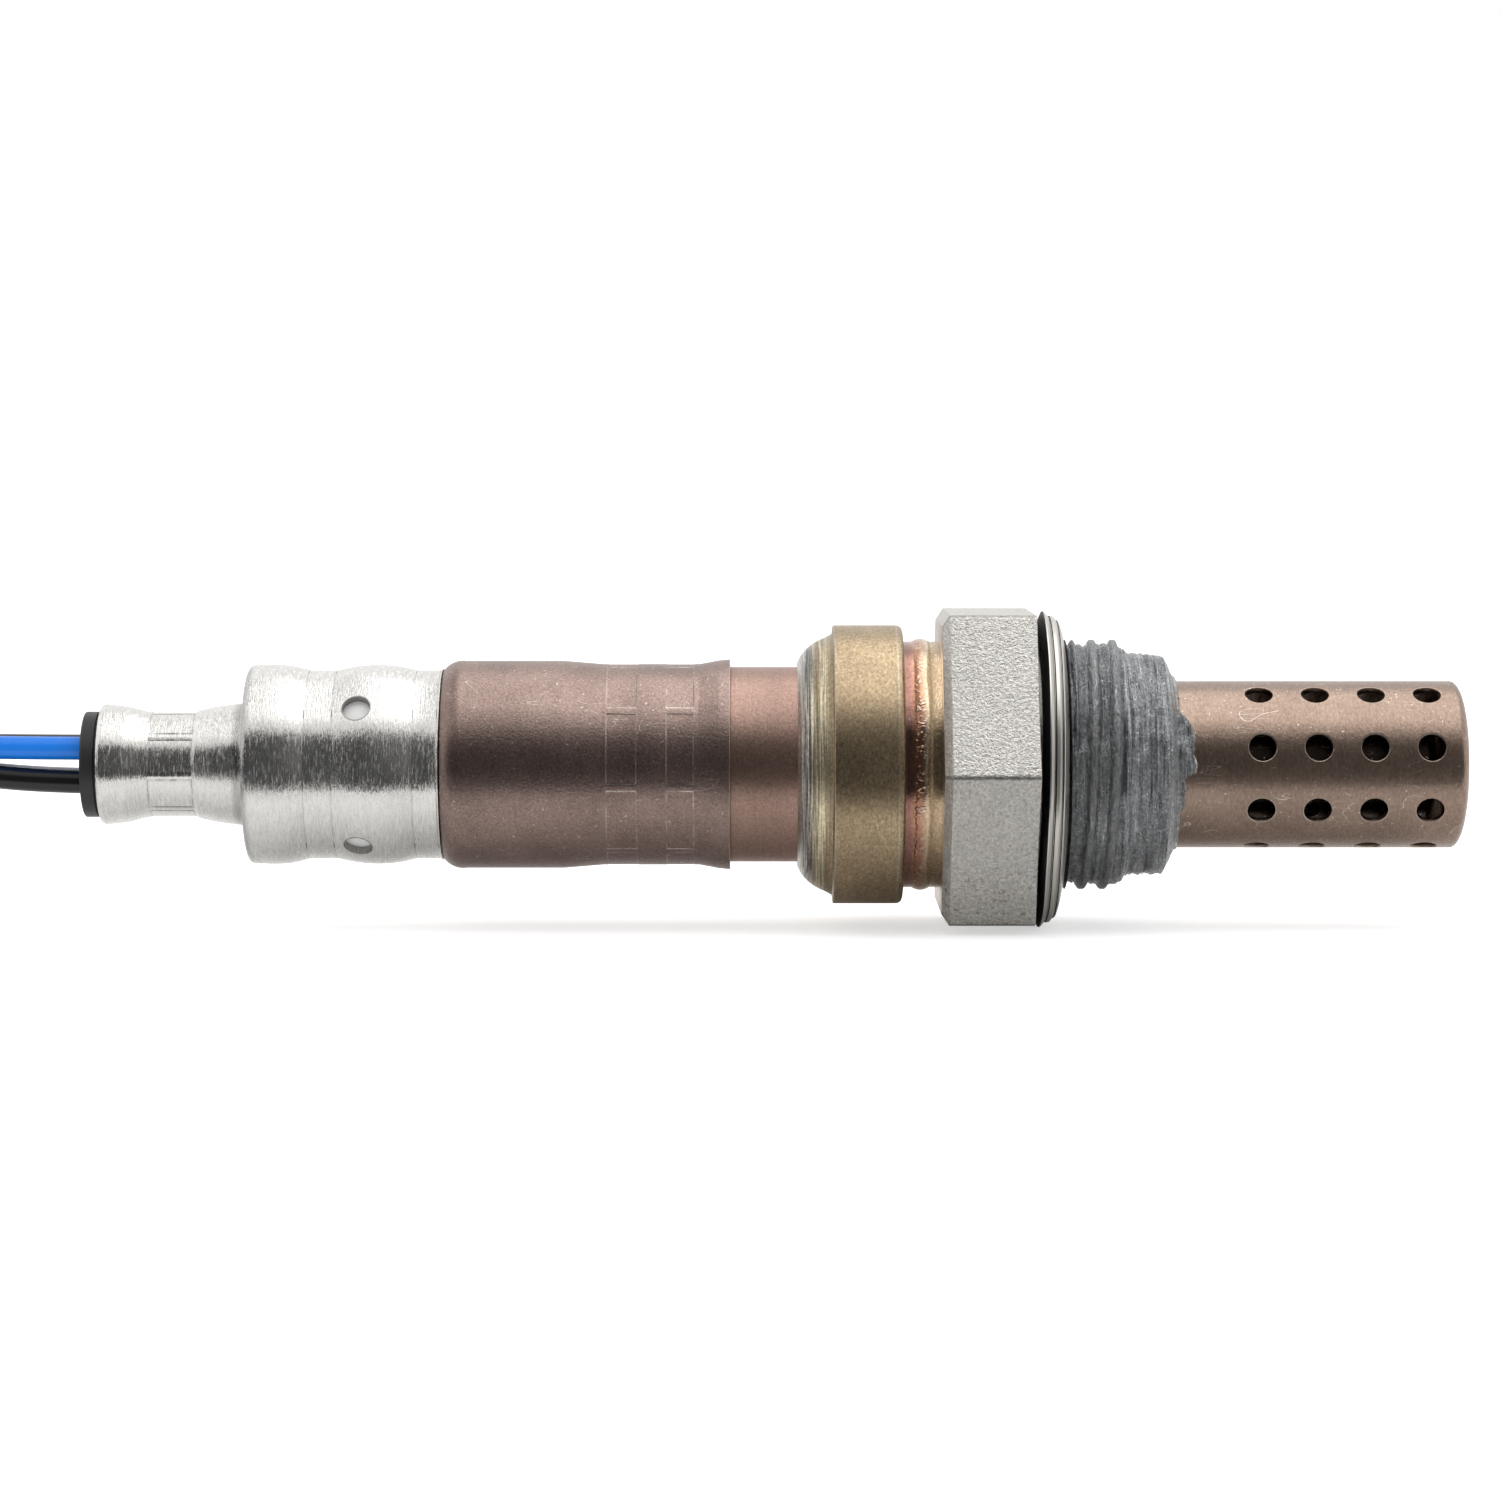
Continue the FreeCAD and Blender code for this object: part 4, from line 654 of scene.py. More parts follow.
def shell_finish():
    """One steel shell in zones: grey lip, brassy collar, tempered band, pebbled hexagon, pasty thread."""
    tree = Material("shell_steel")
    plain, brass, paste = colour_of("hexagon"), colour_of("brass"), colour_of("paste")
    speckle, fine = tree.speckle(3900.0, 0.05), tree.speckle(8200.0, 0.05)
    grain, patches = tree.grain(8000.0, 160.0), tree.patches(330.0)
    sparkle, mottle = tree.sparkle(5400.0, 4200.0), tree.streaks(6600.0, 3600.0, 3.0, 0.7)
    rim, lip = tree.zone(-17.0, -15.7, 0.3), tree.zone(-17.0, -14.6, 0.5)
    collar, violet = tree.zone(-16.3, -9.1, 0.3), tree.zone(-9.3, -8.7, 0.3)
    band, gold = tree.zone(-9.2, -6.6, 0.02), tree.zone(-7.8, -6.6, 0.4)
    hexagon, pasty = tree.zone(-6.6, 0.1, 0.01), tree.zone(2.1, 10.5, 0.2)
    parts = tree.axes()

    steel = tree.coats(plain, (fine["Speckle"] * 0.5, shade(plain, 0.6)),
                       (speckle["Speckle"] * 0.3, shade(plain, 0.6)), (patches * 0.25, shade(plain, 0.8)))
    streaks = tree.streaks(9000.0, 170.0, 4.0, 0.65)
    worn = lip * tree.span(streaks, 0.42, 0.54) * (0.6 + rim * 0.35)
    # Pale gold streaks round the lip: partly streaky tint, partly painted highlight.
    pale_streaks_and_painted_highlight = lip * tree.span(tree.streaks(2600.0, 60.0, 2.0), 0.4, 0.58)
    yellow = tree.coats(brass, (grain * 0.45, shade(brass, 0.62)),
                        (tree.span(mottle, 0.48, 0.66, 0.0, 0.5), shade(brass, 0.4)),
                        (tree.span(mottle, 0.44, 0.32, 0.0, 0.25), (0.84, 0.76, 0.58)),
                        (patches * 0.4, (0.27, 0.2, 0.13)), (pale_streaks_and_painted_highlight * 0.85, (0.88, 0.78, 0.54)),
                        (rim * 0.75, shade(plain, 1.15)), (worn, shade(plain, 0.1)))
    temper = tree.coats((0.52, 0.28, 0.18), (patches, (0.4, 0.2, 0.14)), (gold, (0.74, 0.62, 0.44)),
                        (violet * 0.7, (0.22, 0.12, 0.12)))
    off_axis = tree.math("SQRT", parts["Y"] * parts["Y"] + parts["Z"] * parts["Z"])
    crest = tree.span(off_axis, 0.0087, 0.00888) * tree.span(tree.streaks(3000.0, 900.0), 0.5, 0.66)
    smeared = tree.span(tree.streaks(5200.0, 1400.0, 4.0, 0.62), 0.42, 0.6)
    thread = tree.coats(shade(paste, 0.5), (crest, shade(plain, 0.45)), (smeared, shade(paste, 0.68)))
    # Dark lines on the hexagon's six corners: painted dark reflection on their rounding.
    corner = tree.span(tree.math("PINGPONG", tree.angle(), math.pi / 6), 0.014, 0.006) * hexagon
    edges = tree.zone(-14.14, -14.04, 0.04) + tree.zone(-9.71, -9.61, 0.04)
    underside = tree.span(parts["Z"], -0.0062, -0.0074) * hexagon
    rust = tree.span(tree.spots(2400.0, 2.0), 0.59, 0.66) * underside
    colour = tree.coats(steel, (collar, yellow), (band, temper), (pasty, thread),
                        (corner * 0.6, shade(plain, 0.3)), (edges * 0.4, shade(plain, 0.85)),
                        (tree.scratches(0.0025, 0.13) * 0.35, shade(plain, 0.95)),
                        (rust * 0.5, (0.2, 0.12, 0.09)))
    # Pale flecks in the buckled band: painted glints, over a real bump of dents.
    dents_and_painted_glints = tree.zone(-8.5, -7.8, 0.1) * tree.span(tree.streaks(2600.0, 3600.0, 1.0), 0.5, 0.7)
    colour = tree.coats(tree.grained(colour, sparkle, 0.26), (dents_and_painted_glints * 0.4, (0.9, 0.8, 0.68)))
    rough = 0.33 + grain * 0.06 - band * 0.25 - lip * 0.06 + pasty * 0.12 + hexagon * 0.04
    pebbled = hexagon * tree.span(parts["Z"], -0.0004, 0.0004, 2.4, 2.8)
    height = fine["Height"] * (0.3 + hexagon * 0.9) + streaks * lip * 1.2 + dents_and_painted_glints * 0.5
    height += smeared * pasty * 1.5 + grain * collar * 0.12 + speckle["Height"] * pebbled
    return tree.surface(colour, rough, height, 0.00005, metallic=1.0)


def ring_finish():
    tree, base = Material("bright_ring"), shade(colour_of("hexagon"), 1.05)
    grain = tree.grain(16000.0, 70.0)
    colour = tree.coats(base, (grain * 0.35, shade(base, 0.75)))
    return tree.surface(colour, 0.3 + tree.patches(420.0) * 0.1, grain, 0.00001, metallic=1.0)


def bronze_finish(name="bronze_tint", rims=True, level=1.0):
    """Perforated tubes: bronze tint, with bare metal round the holes and a few scratches."""
    tree, base = Material(name), shade(colour_of("bronze"), level)
    speckle, sparkle = tree.speckle(5400.0, 0.01), tree.sparkle(6400.0, 2800.0)
    grain, patches = tree.grain(9000.0, 700.0), tree.patches(260.0)
    bare = tree.most(tree.scratches(0.0027, 0.23) * 0.75,
                     tree.span(tree.spots(4600.0, 1.0), 0.71, 0.77) * 0.7)
    if rims:
        hole = bpy.context.scene.sensor_sizes.tip_hole
        rim = tree.rims(TIP_ROW, TIP_ROW_STEP, hole, TIP_RADIUS, TIP_TURN, 8)
        bare = tree.most(bare, rim * (tree.zone(13.9, 29.7, 0.1) * (patches * 0.4)))
    colour = tree.coats(base, (patches * 0.5, shade(base, 0.75)), (grain * 0.35, shade(base, 0.72)),
                        (speckle["Speckle"] * 0.35, shade(base, 0.55)))
    colour = tree.coats(tree.grained(colour, sparkle, 0.2), (bare, (0.82, 0.75, 0.66)))
    height = speckle["Height"] + grain * 0.5 + sparkle * 0.4
    return tree.surface(colour, 0.24 + speckle["Height"] * 0.12, height, 0.000011, metallic=1.0)


def paste_finish():
    """Thick grey paste full of metal flakes, dragged round the nose."""
    tree, base = Material("anti_seize_paste"), colour_of("paste")
    flakes, lumps = tree.speckle(5200.0, 0.04), tree.speckle(1500.0, 0.06)
    drag = tree.span(tree.streaks(3900.0, 190.0, 5.0, 0.75), 0.37, 0.63, smooth=False)
    broad = tree.span(tree.streaks(900.0, 130.0, 3.0, 0.6), 0.38, 0.62)
    colour = tree.coats(shade(base, 0.13), (drag, shade(base, 1.15)),
                        (tree.zone(2.1, 6.1, 0.3) * 0.35, shade(base, 0.25)),
                        (broad * 0.4, shade(base, 0.85)), (flakes["Speckle"] * 0.45, shade(base, 2.0)))
    colour = tree.grained(colour, tree.sparkle(6600.0, 5200.0), 0.42)
    height = drag * 0.9 + broad * 1.1 + flakes["Height"] * 0.5 + lumps["Height"] * 1.4
    return tree.surface(colour, 0.32 - tree.patches(420.0) * 0.14, height, 0.00011,
                        metallic=0.65 + flakes["Speckle"] * 0.3)


def plain_finish(name, colour, roughness, fineness, depth=0.00001, metallic=0.0):
    """A moulded, fired or plated surface with a faint grain."""
    tree = Material(name)
    speckle, patches = tree.speckle(fineness, 0.0), tree.patches(300.0)
    tint = tree.coats(colour, (speckle["Speckle"] * 0.2, shade(colour, 0.8)),
                      (patches * 0.12, shade(colour, 0.85)))
    return tree.surface(tint, roughness + patches * 0.06, speckle["Height"], depth, metallic=metallic)


def lead_finish(name, colour):
    """Smooth extruded insulation with a soft gloss and faint draw lines."""
    tree = Material(name)
    patches = tree.patches(700.0)
    tint = tree.coats(colour, (patches * 0.15, shade(colour, 0.8)))
    return tree.surface(tint, 0.26 + tree.scratches(0.004, 0.1) * 0.25, patches, 0.000004)


# Pieces

def paint_faces(piece, material, chosen):
    """Gives the chosen faces a second material."""
    piece.data.materials.append(material)
    for face in piece.data.polygons:
        if chosen(face):
            face.material_index = 1


def ridges():
    """The angles of the thin lines that stand between the eight jaws."""
    first = bpy.context.scene.sensor_sizes.jaw_turn
    return [first + math.radians(45 * number) for number in range(8)]


def jaw_shape(bands):
    """The shape that crimping jaws leave: flats in each band, with a thin line between two jaws."""
    sizes = bpy.context.scene.sensor_sizes
    depth, gap, lines = sizes.jaw_depth / MM, sizes.jaw_gap, ridges()

    def shape(place, radius, angle):
        nearest = min(abs((angle - ridge + math.pi) % (2 * math.pi) - math.pi) for ridge in lines)
        pressed = soft_step(nearest, gap * 0.3, gap * 0.62)
        for back, front in bands:
            inside = soft_step(place, back - 0.06, back + 0.06)
            inside *= 1 - soft_step(place, front - 0.06, front + 0.06)
            radius -= depth * pressed * inside
        return place, radius
    return shape


def jaw_angles(count=128):
    gap = bpy.context.scene.sensor_sizes.jaw_gap
    close = [ridge + gap * part for ridge in ridges() for part in (-0.62, -0.45, -0.3, 0.3, 0.45, 0.62)]
    return with_angles(even_angles(count), close)


def band_lines(bands):
    """The places at which a skin needs rings, so that the jaws' ends are sharp."""
    return [place + offset for band in bands for place in band for offset in (-0.07, -0.02, 0.02, 0.07)]


def add_lines(outline, lines):
    """Puts extra points on the outer stretch of an outline that runs to -X, where each line meets it."""
    points = list(outline)
    for line in lines:
        for number in range(len(points) - 1):
            (x0, r0), (x1, r1) = points[number], points[number + 1]
            if x0 > line + 1e-6 and x1 < line - 1e-6:
                part = (line - x0) / (x1 - x0)
                points.insert(number + 1, (line, r0 + (r1 - r0) * part))
                break
    return points


class OBJECT_OT_sensor_shell(Operator):
    """Builds the shell: nose, thread, hexagon, buckled band, collar and crimped lip"""
    bl_idname = "object.sensor_shell"
    bl_label = "Shell"

    def execute(self, context):
        sizes = context.scene.sensor_sizes
        pitch, deep, edge = sizes.thread_pitch / MM, sizes.thread_depth / MM, sizes.edge_round / MM
        flat, crest = 10.875, 8.88
        corner = flat / math.cos(math.radians(30))
        front = [(9.8, 5.96), (9.8, 6.4), (8.9, 7.3), (7.45, 7.3), (7.4, 7.35)]
        thread = [(7.3 - 0.05 * step, crest) for step in range(100)]
        back = [(2.2, 8.0), (0.0, 8.0), (0.0, corner, edge), (-6.05, corner, edge),
                (-6.6, corner - 0.92, edge), (-6.6, 8.75), (-7.25, 8.75, 0.0, 0.2), (-8.55, 8.75),
                (-9.2, 8.75), (-9.2, 9.9, 0.5), (-14.13, 9.9, edge), (-14.2, 9.3, 0.1),
                (-14.75, 9.0, 0.3, 0.16), (-16.4, 7.75, 0.3), (-16.66, 7.25, 0.15), (-16.63, 6.96),
                (-16.03, 6.96), (-14.34, 8.05), (-14.34, 8.35), (-13.16, 8.35), (-13.16, 6.6),
                (-9.2, 6.6), (-8.9, 7.65), (-6.9, 7.65), (-6.6, 6.6), (1.2, 6.6),
                (1.2, 4.6), (6.8, 4.6), (6.8, 5.96)]
        outline = eased(front + thread + back)
        corners = [math.radians(60 * number) for number in range(6)]
        angles = with_angles(even_angles(192), [at + math.radians(step) for at in corners
                                                for step in (-1.3, -0.5, 0.0, 0.5, 1.3)])

        def shape(place, radius, angle):
            # The six flats cut the hexagon's round.
            if radius > flat - 1.0 and -6.61 < place < 0.01:
                from_corner = abs((angle + math.pi / 6) % (math.pi / 3) - math.pi / 6)
                size = radius * math.cos(math.radians(30)) / math.cos(math.pi / 6 - from_corner)
                return place, max(8.8, min(size, radius - 0.05))
            # The thread's turns climb round the axis, and run out under the paste.
            if 2.35 <= place <= 7.31:
                turn = (place / pitch - angle / (2 * math.pi) + 0.5 + 0.25 - 3.5 / pitch) % 1.0
                height = soft_step(abs(turn - 0.5) * 2, 0.12, 0.85)
                ends = soft_step(place, 2.3, 2.9) * (1 - soft_step(place, 5.9, 6.5))
                covered = 0.12 * (1 - ends) + 0.42 * soft_step(place, 6.0, 6.5)
                return place, crest - deep + deep * height * ends - covered
            return place, radius

        turned_piece("shell_turned", outline, angles, shell_finish(), "shell", 32, shape)
        return {"FINISHED"}


class OBJECT_OT_sensor_sealing_ring(Operator):
    """Builds the folded sealing ring that hangs on the neck in front of the hexagon"""
    bl_idname = "object.sensor_sealing_ring"
    bl_label = "Sealing ring"

    def execute(self, context):
        outline = eased([
            (0.3, 8.37, 0.1), (1.7, 8.38, 0.3), (2.14, 8.7, 0.3), (2.07, 9.3, 0.5), (1.92, 10.0, 0.5),
            (1.76, 10.5, 0.1), (1.66, 10.62, 0.03), (1.57, 10.55, 0.02), (1.5, 10.72, 0.03),
            (1.36, 10.9, 0.1), (1.12, 10.93, 0.04), (1.02, 10.84, 0.03), (0.94, 10.98, 0.03),
            (0.72, 11.25, 0.03), (0.62, 11.24, 0.04), (0.3, 10.5, 0.3), (0.25, 9.4, 0.2)])
        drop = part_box("sealing_ring")[0].z / MM + 11.25

        def shape(place, radius, angle):
            lean = 0.13 * math.sin(angle) * (radius / 11.0)
            uneven = noise.noise(Vector((math.cos(angle), math.sin(angle), 0.3)) * 2.0) * 0.05
            return place + lean + uneven * soft_step(radius, 10.4, 11.2), radius

        bm = bmesh.new()
        turned_skin(bm, outline, even_angles(192), shape)
        bmesh.ops.translate(bm, verts=bm.verts, vec=Vector((0, 0, drop * MM)))
        ring = make_piece("sealing_ring_folded", bm, ring_finish(), "sealing_ring", 30)
        # Faces that look back to the hexagon get a near-black finish: painted shade on the ring's rear.
        rear_painted_shade = plain_finish("ring_rear_painted_shade", (0.03, 0.03, 0.031), 0.5, 2600.0, metallic=1.0)
        paint_faces(ring, rear_painted_shade, lambda face: face.normal.x < -0.5)
        return {"FINISHED"}


class OBJECT_OT_sensor_tip_tube(Operator):
    """Builds the perforated tube at the tip, with its eight rows of four holes"""
    bl_idname = "object.sensor_tip_tube"
    bl_label = "Perforated tube"

    def execute(self, context):
        hole = context.scene.sensor_sizes.tip_hole / MM
        wall, tip, rounding = 0.45, 30.6, 0.85
        angles = [angle + math.radians(TIP_TURN - 15) for angle in even_angles(96)]
        places = [6.8, 10.0]
        holes = []
        # Each hole has its own field of the skin, eight rows long and eight columns wide.
        for row in range(4):
            centre = TIP_ROW + TIP_ROW_STEP * row
            places += [centre - 1.5 + 3.0 * step / 8 for step in range(9)]
            for number in range(8):
                turn = angles[0] + math.radians(15 + 45 * number)
                holes.append((len(places) - 9, 12 * number, centre, turn))
        places.append(tip - rounding)

        def skin(radius):
            return lambda place, angle, sunk: around(place, radius - sunk, angle)

        bm = bmesh.new()
        rim = [(0.07, 0.0), (0.025, 0.01), (0.0, 0.05), (0.0, 0.25)]
        rings, loops = pierced_skin(bm, places, angles, skin(TIP_RADIUS), holes, hole, rim)
        inner_rings, inner_loops = pierced_skin(bm, places, angles, skin(TIP_RADIUS - wall), holes, hole,
                                                [(0.1, 0.0), (0.0, 0.0)])
        for first, second in zip(loops, inner_loops):
            join_rings(bm, first, second)
        join_rings(bm, rings[0], inner_rings[0])
        self.close_tip(bm, rings[-1], angles, tip, TIP_RADIUS, rounding)
        self.close_tip(bm, inner_rings[-1], angles, tip - wall, TIP_RADIUS - wall, rounding - wall)
        make_piece("outer_tube_pierced", bm, bronze_finish(), "outer_protection_tube", 50)
        return {"FINISHED"}

    def close_tip(self, bm, ring, angles, tip, radius, rounding):
        """Rounds the tube over into its slightly domed end."""
        broad = 2 * rounding
        for step in range(1, 9):
            turn = math.radians(90 * step / 8)
            place = tip - rounding + (rounding - 0.08) * math.sin(turn)
            size = radius - broad + broad * math.cos(turn)
            following = [bm.verts.new(around(place, size, angle)) for angle in angles]
            join_rings(bm, ring, following)
            ring = following
        for part in (0.75, 0.5, 0.25, 0.06):
            place, size = tip - 0.08 + 0.28 * (1 - part ** 2), (radius - broad) * part
            inner = [bm.verts.new(around(place, size, angle)) for angle in angles]
            join_rings(bm, ring, inner)
            ring = inner
        bm.faces.new(ring)


class OBJECT_OT_sensor_paste(Operator):
    """Builds the paste that is dragged round the thread and the nose"""
    bl_idname = "object.sensor_paste"
    bl_label = "Anti-seize paste"

    def execute(self, context):
        places = [2.3 + 0.055 * step for step in range(172)]
        angles = even_angles(264)
        bm = bmesh.new()
        rings = [[bm.verts.new(around(place, self.radius(place, angle), angle)) for angle in angles]
                 for place in places]
        for place, radius in ((places[-1], 5.75), (9.7, 5.75), (8.9, 7.0), (2.3, 7.6)):
            rings.append([bm.verts.new(around(place, radius, angle)) for angle in angles])
        for number in range(len(rings)):
            join_rings(bm, rings[number - 1], rings[number])
        make_piece("paste_dragged", bm, paste_finish(), "anti_seize_paste", 180)
        return {"FINISHED"}

    def radius(self, place, angle):
        """The paste's outer face: level in the thread, thick on the nose, torn at its front edge."""
        turned = Vector((0.0, math.cos(angle), math.sin(angle)))
        lumps = noise.noise(turned * 2.6 + Vector((place * 0.45, 0, 0)))
        small = noise.noise(turned * 9.0 + Vector((place * 1.6, 3, 0)))
        streaks = noise.noise(turned * 1.3 + Vector((place * 3.4, 0, 5)))
        lines = noise.noise(turned * 2.2 + Vector((place * 8.5, 7, 0)))
        fine = noise.noise(turned * 3.1 + Vector((place * 17.0, 2, 9)))
        height = (math.degrees(angle) + 180) % 360 - 180
        over = soft_step(place, 6.0, 6.9)
        level = 8.42 - 0.6 * over
        level += lumps * (0.34 - 0.2 * over) + small * 0.09 + streaks * 0.13 + lines * 0.08 + fine * 0.045
        slot = soft_step(height, -13, -8) * (1 - soft_step(height, 22, 29))
        slot *= soft_step(place, 5.25, 5.4) * (1 - soft_step(place, 6.0, 6.2))
        level += (7.75 - level) * slot * (0.85 + 0.15 * math.sin(place * 24))
        nose = level - 2.1 * soft_step(place, 9.05, 10.45)
        ragged = noise.noise(turned * 7.0) * 0.22 + noise.noise(turned * 19.0) * 0.1
        tongue = soft_step(height, -6, 0) * (1 - soft_step(height, 34, 42))
        front = 10.2 + ragged + tongue * (1.1 - height * 0.012)
        front += 0.3 * soft_step(height, -34, -24) * (1 - soft_step(height, -6, 0))
        thin = 5.85 + (0.4 + 0.25 * small) * (1 - soft_step(place, front - 0.22, front + 0.04))
        return max(nose if place < front + 0.1 else 5.8, thin)


class OBJECT_OT_sensor_main_cover(Operator):
    """Builds the copper-tinted tube between the shell's lip and the brown sleeve"""
    bl_idname = "object.sensor_main_cover"
    bl_label = "Main cover"

    def execute(self, context):
        outline = eased([
            (-13.71, 6.38), (-13.71, 8.24), (-14.3, 8.24), (-14.31, 7.1, 0.2), (-14.6, 6.93), (-23.5, 6.93),
            (-23.8, 6.63), (-30.4, 6.63), (-30.7, 6.93), (-39.6, 6.93, 0.3), (-41.1, 5.75, 0.3),
            (-53.5, 5.75), (-53.5, 5.2), (-40.9, 5.2), (-39.4, 6.38), (-30.7, 6.38), (-30.4, 6.08),
            (-23.8, 6.08), (-23.5, 6.38)])
        turned_piece("main_cover_drawn", outline, even_angles(128), copper_finish(),
                     "main_cover", 35)
        return {"FINISHED"}


class OBJECT_OT_sensor_heat_sleeve(Operator):
    """Builds the brown sleeve with its two bands of jaw marks"""
    bl_idname = "object.sensor_heat_sleeve"
    bl_label = "Heat sleeve"

    def execute(self, context):
        outline = eased([
            (-21.4, 7.48, 0.08), (-22.2, 7.4, 0.8), (-23.6, 7.14, 0.5), (-30.4, 7.14, 2.0),
            (-33.2, 7.37, 4.0), (-40.1, 7.37, 0.0, 0.24), (-41.72, 6.75, 0.1), (-41.67, 6.4),
            (-39.7, 6.96), (-30.7, 6.96),
            (-30.4, 6.66), (-23.8, 6.66), (-23.5, 6.96), (-21.4, 7.09, 0.05)])
        shape = jaw_shape(SLEEVE_BANDS)

        def outside(place, radius, angle):
            return shape(place, radius, angle) if radius > 7.0 else (place, radius)

        turned_piece("heat_sleeve_crimped", add_lines(outline, band_lines(SLEEVE_BANDS)), jaw_angles(),
                     oxide_finish(), "heat_sleeve", 60, outside)
        return {"FINISHED"}


class OBJECT_OT_sensor_filter_cover(Operator):
    """Builds the silver cover with its bulges, jaw bands, vents and neck"""
    bl_idname = "object.sensor_filter_cover"
    bl_label = "Filter cover"

    def execute(self, context):
        vent = context.scene.sensor_sizes.vent / MM
        outer = [(-41.78, 6.85, 0.05), (-42.0, 6.7), (-43.65, 6.7, 1.6, 0.39), (-49.25, 6.7, 1.6),
                 (-51.27, 6.7, 1.6, 0.16), (-54.4, 7.08), (-55.6, 7.08, 1.15), (-55.6, 4.36, 0.5),
                 (-56.6, 4.3, 0.4), (-57.9, 4.12, 0.9), (-59.1, 3.86, 0.5), (-59.36, 3.72, 0.1),
                 (-62.46, 3.72, 0.5), (-63.0, 3.8, 0.6), (-64.2, 4.12, 0.9), (-65.8, 4.3, 0.35),
                 (-66.06, 4.16, 0.05)]
        inner = [(-66.06, 3.75, 0.05), (-63.7, 3.5), (-62.46, 3.16), (-59.36, 3.16), (-57.4, 3.72),
                 (-55.31, 3.72), (-55.31, 6.3, 0.4), (-54.4, 6.55), (-51.27, 6.14),
                 (-49.25, 6.14, 0.0, 0.3), (-43.65, 6.14), (-42.0, 6.14), (-41.78, 6.35)]
        outline = eased(outer + inner)
        shape = jaw_shape(COVER_BANDS[2:])

        def outside(place, radius, angle):
            return shape(place, radius, angle) if radius > 3.6 else (place, radius)

        piece = turned_piece("filter_cover_crimped", add_lines(outline, band_lines(COVER_BANDS)),
                             jaw_angles(144), silver_finish(), "filter_cover", 60, outside)
        self.cut_vents(context, piece, vent)
        self.line_vents()
        return {"FINISHED"}

    def line_vents(self):
        """Builds the white film that bulges under the vents."""
        outline = eased([(-42.0, 5.8), (-42.0, 6.1), (-43.8, 6.12, 1.0, 0.36), (-49.2, 6.12, 1.0),
                         (-51.9, 6.1), (-51.9, 5.8)])
        film = plain_finish("filter_film", (0.93, 0.93, 0.92), 0.7, 4200.0)
        turned_piece("filter_film", outline, even_angles(96), film, "filter_membrane", 60)

    def cut_vents(self, context, piece, radius):
        """Cuts the four vents by a cutter that is removed again."""
        bm = bmesh.new()
        for number in range(4):
            angle = math.radians(VENT_TURN + 90 * number)
            along = around(0.0, 1.0, angle).normalized()
            side = Vector((1.0, 0.0, 0.0))
            other = along.cross(side)
            rings = []
            for depth in (5.6, 8.2):
                centre = Vector((VENT_PLACE, 0.0, 0.0)) * MM + along * depth * MM
                circle = [side * math.cos(turn) + other * math.sin(turn) for turn in even_angles(48)]
                rings.append([bm.verts.new(centre + point * radius * MM) for point in circle])
            join_rings(bm, *rings)
            bm.faces.new(rings[0])
            bm.faces.new(rings[1])
        bmesh.ops.recalc_face_normals(bm, faces=bm.faces)
        mesh = bpy.data.meshes.new("vent_cutter")
        bm.to_mesh(mesh)
        bm.free()
        cutter = bpy.data.objects.new("vent_cutter", mesh)
        context.scene.collection.objects.link(cutter)
        cut = piece.modifiers.new("vents", "BOOLEAN")
        cut.operation = "DIFFERENCE"
        cut.solver = "EXACT"
        cut.object = cutter
        with context.temp_override(object=piece, active_object=piece, selected_objects=[piece]):
            bpy.ops.object.modifier_apply(modifier=cut.name)
        bpy.data.objects.remove(cutter)
        piece.data.set_sharp_from_angle(angle=math.radians(60))


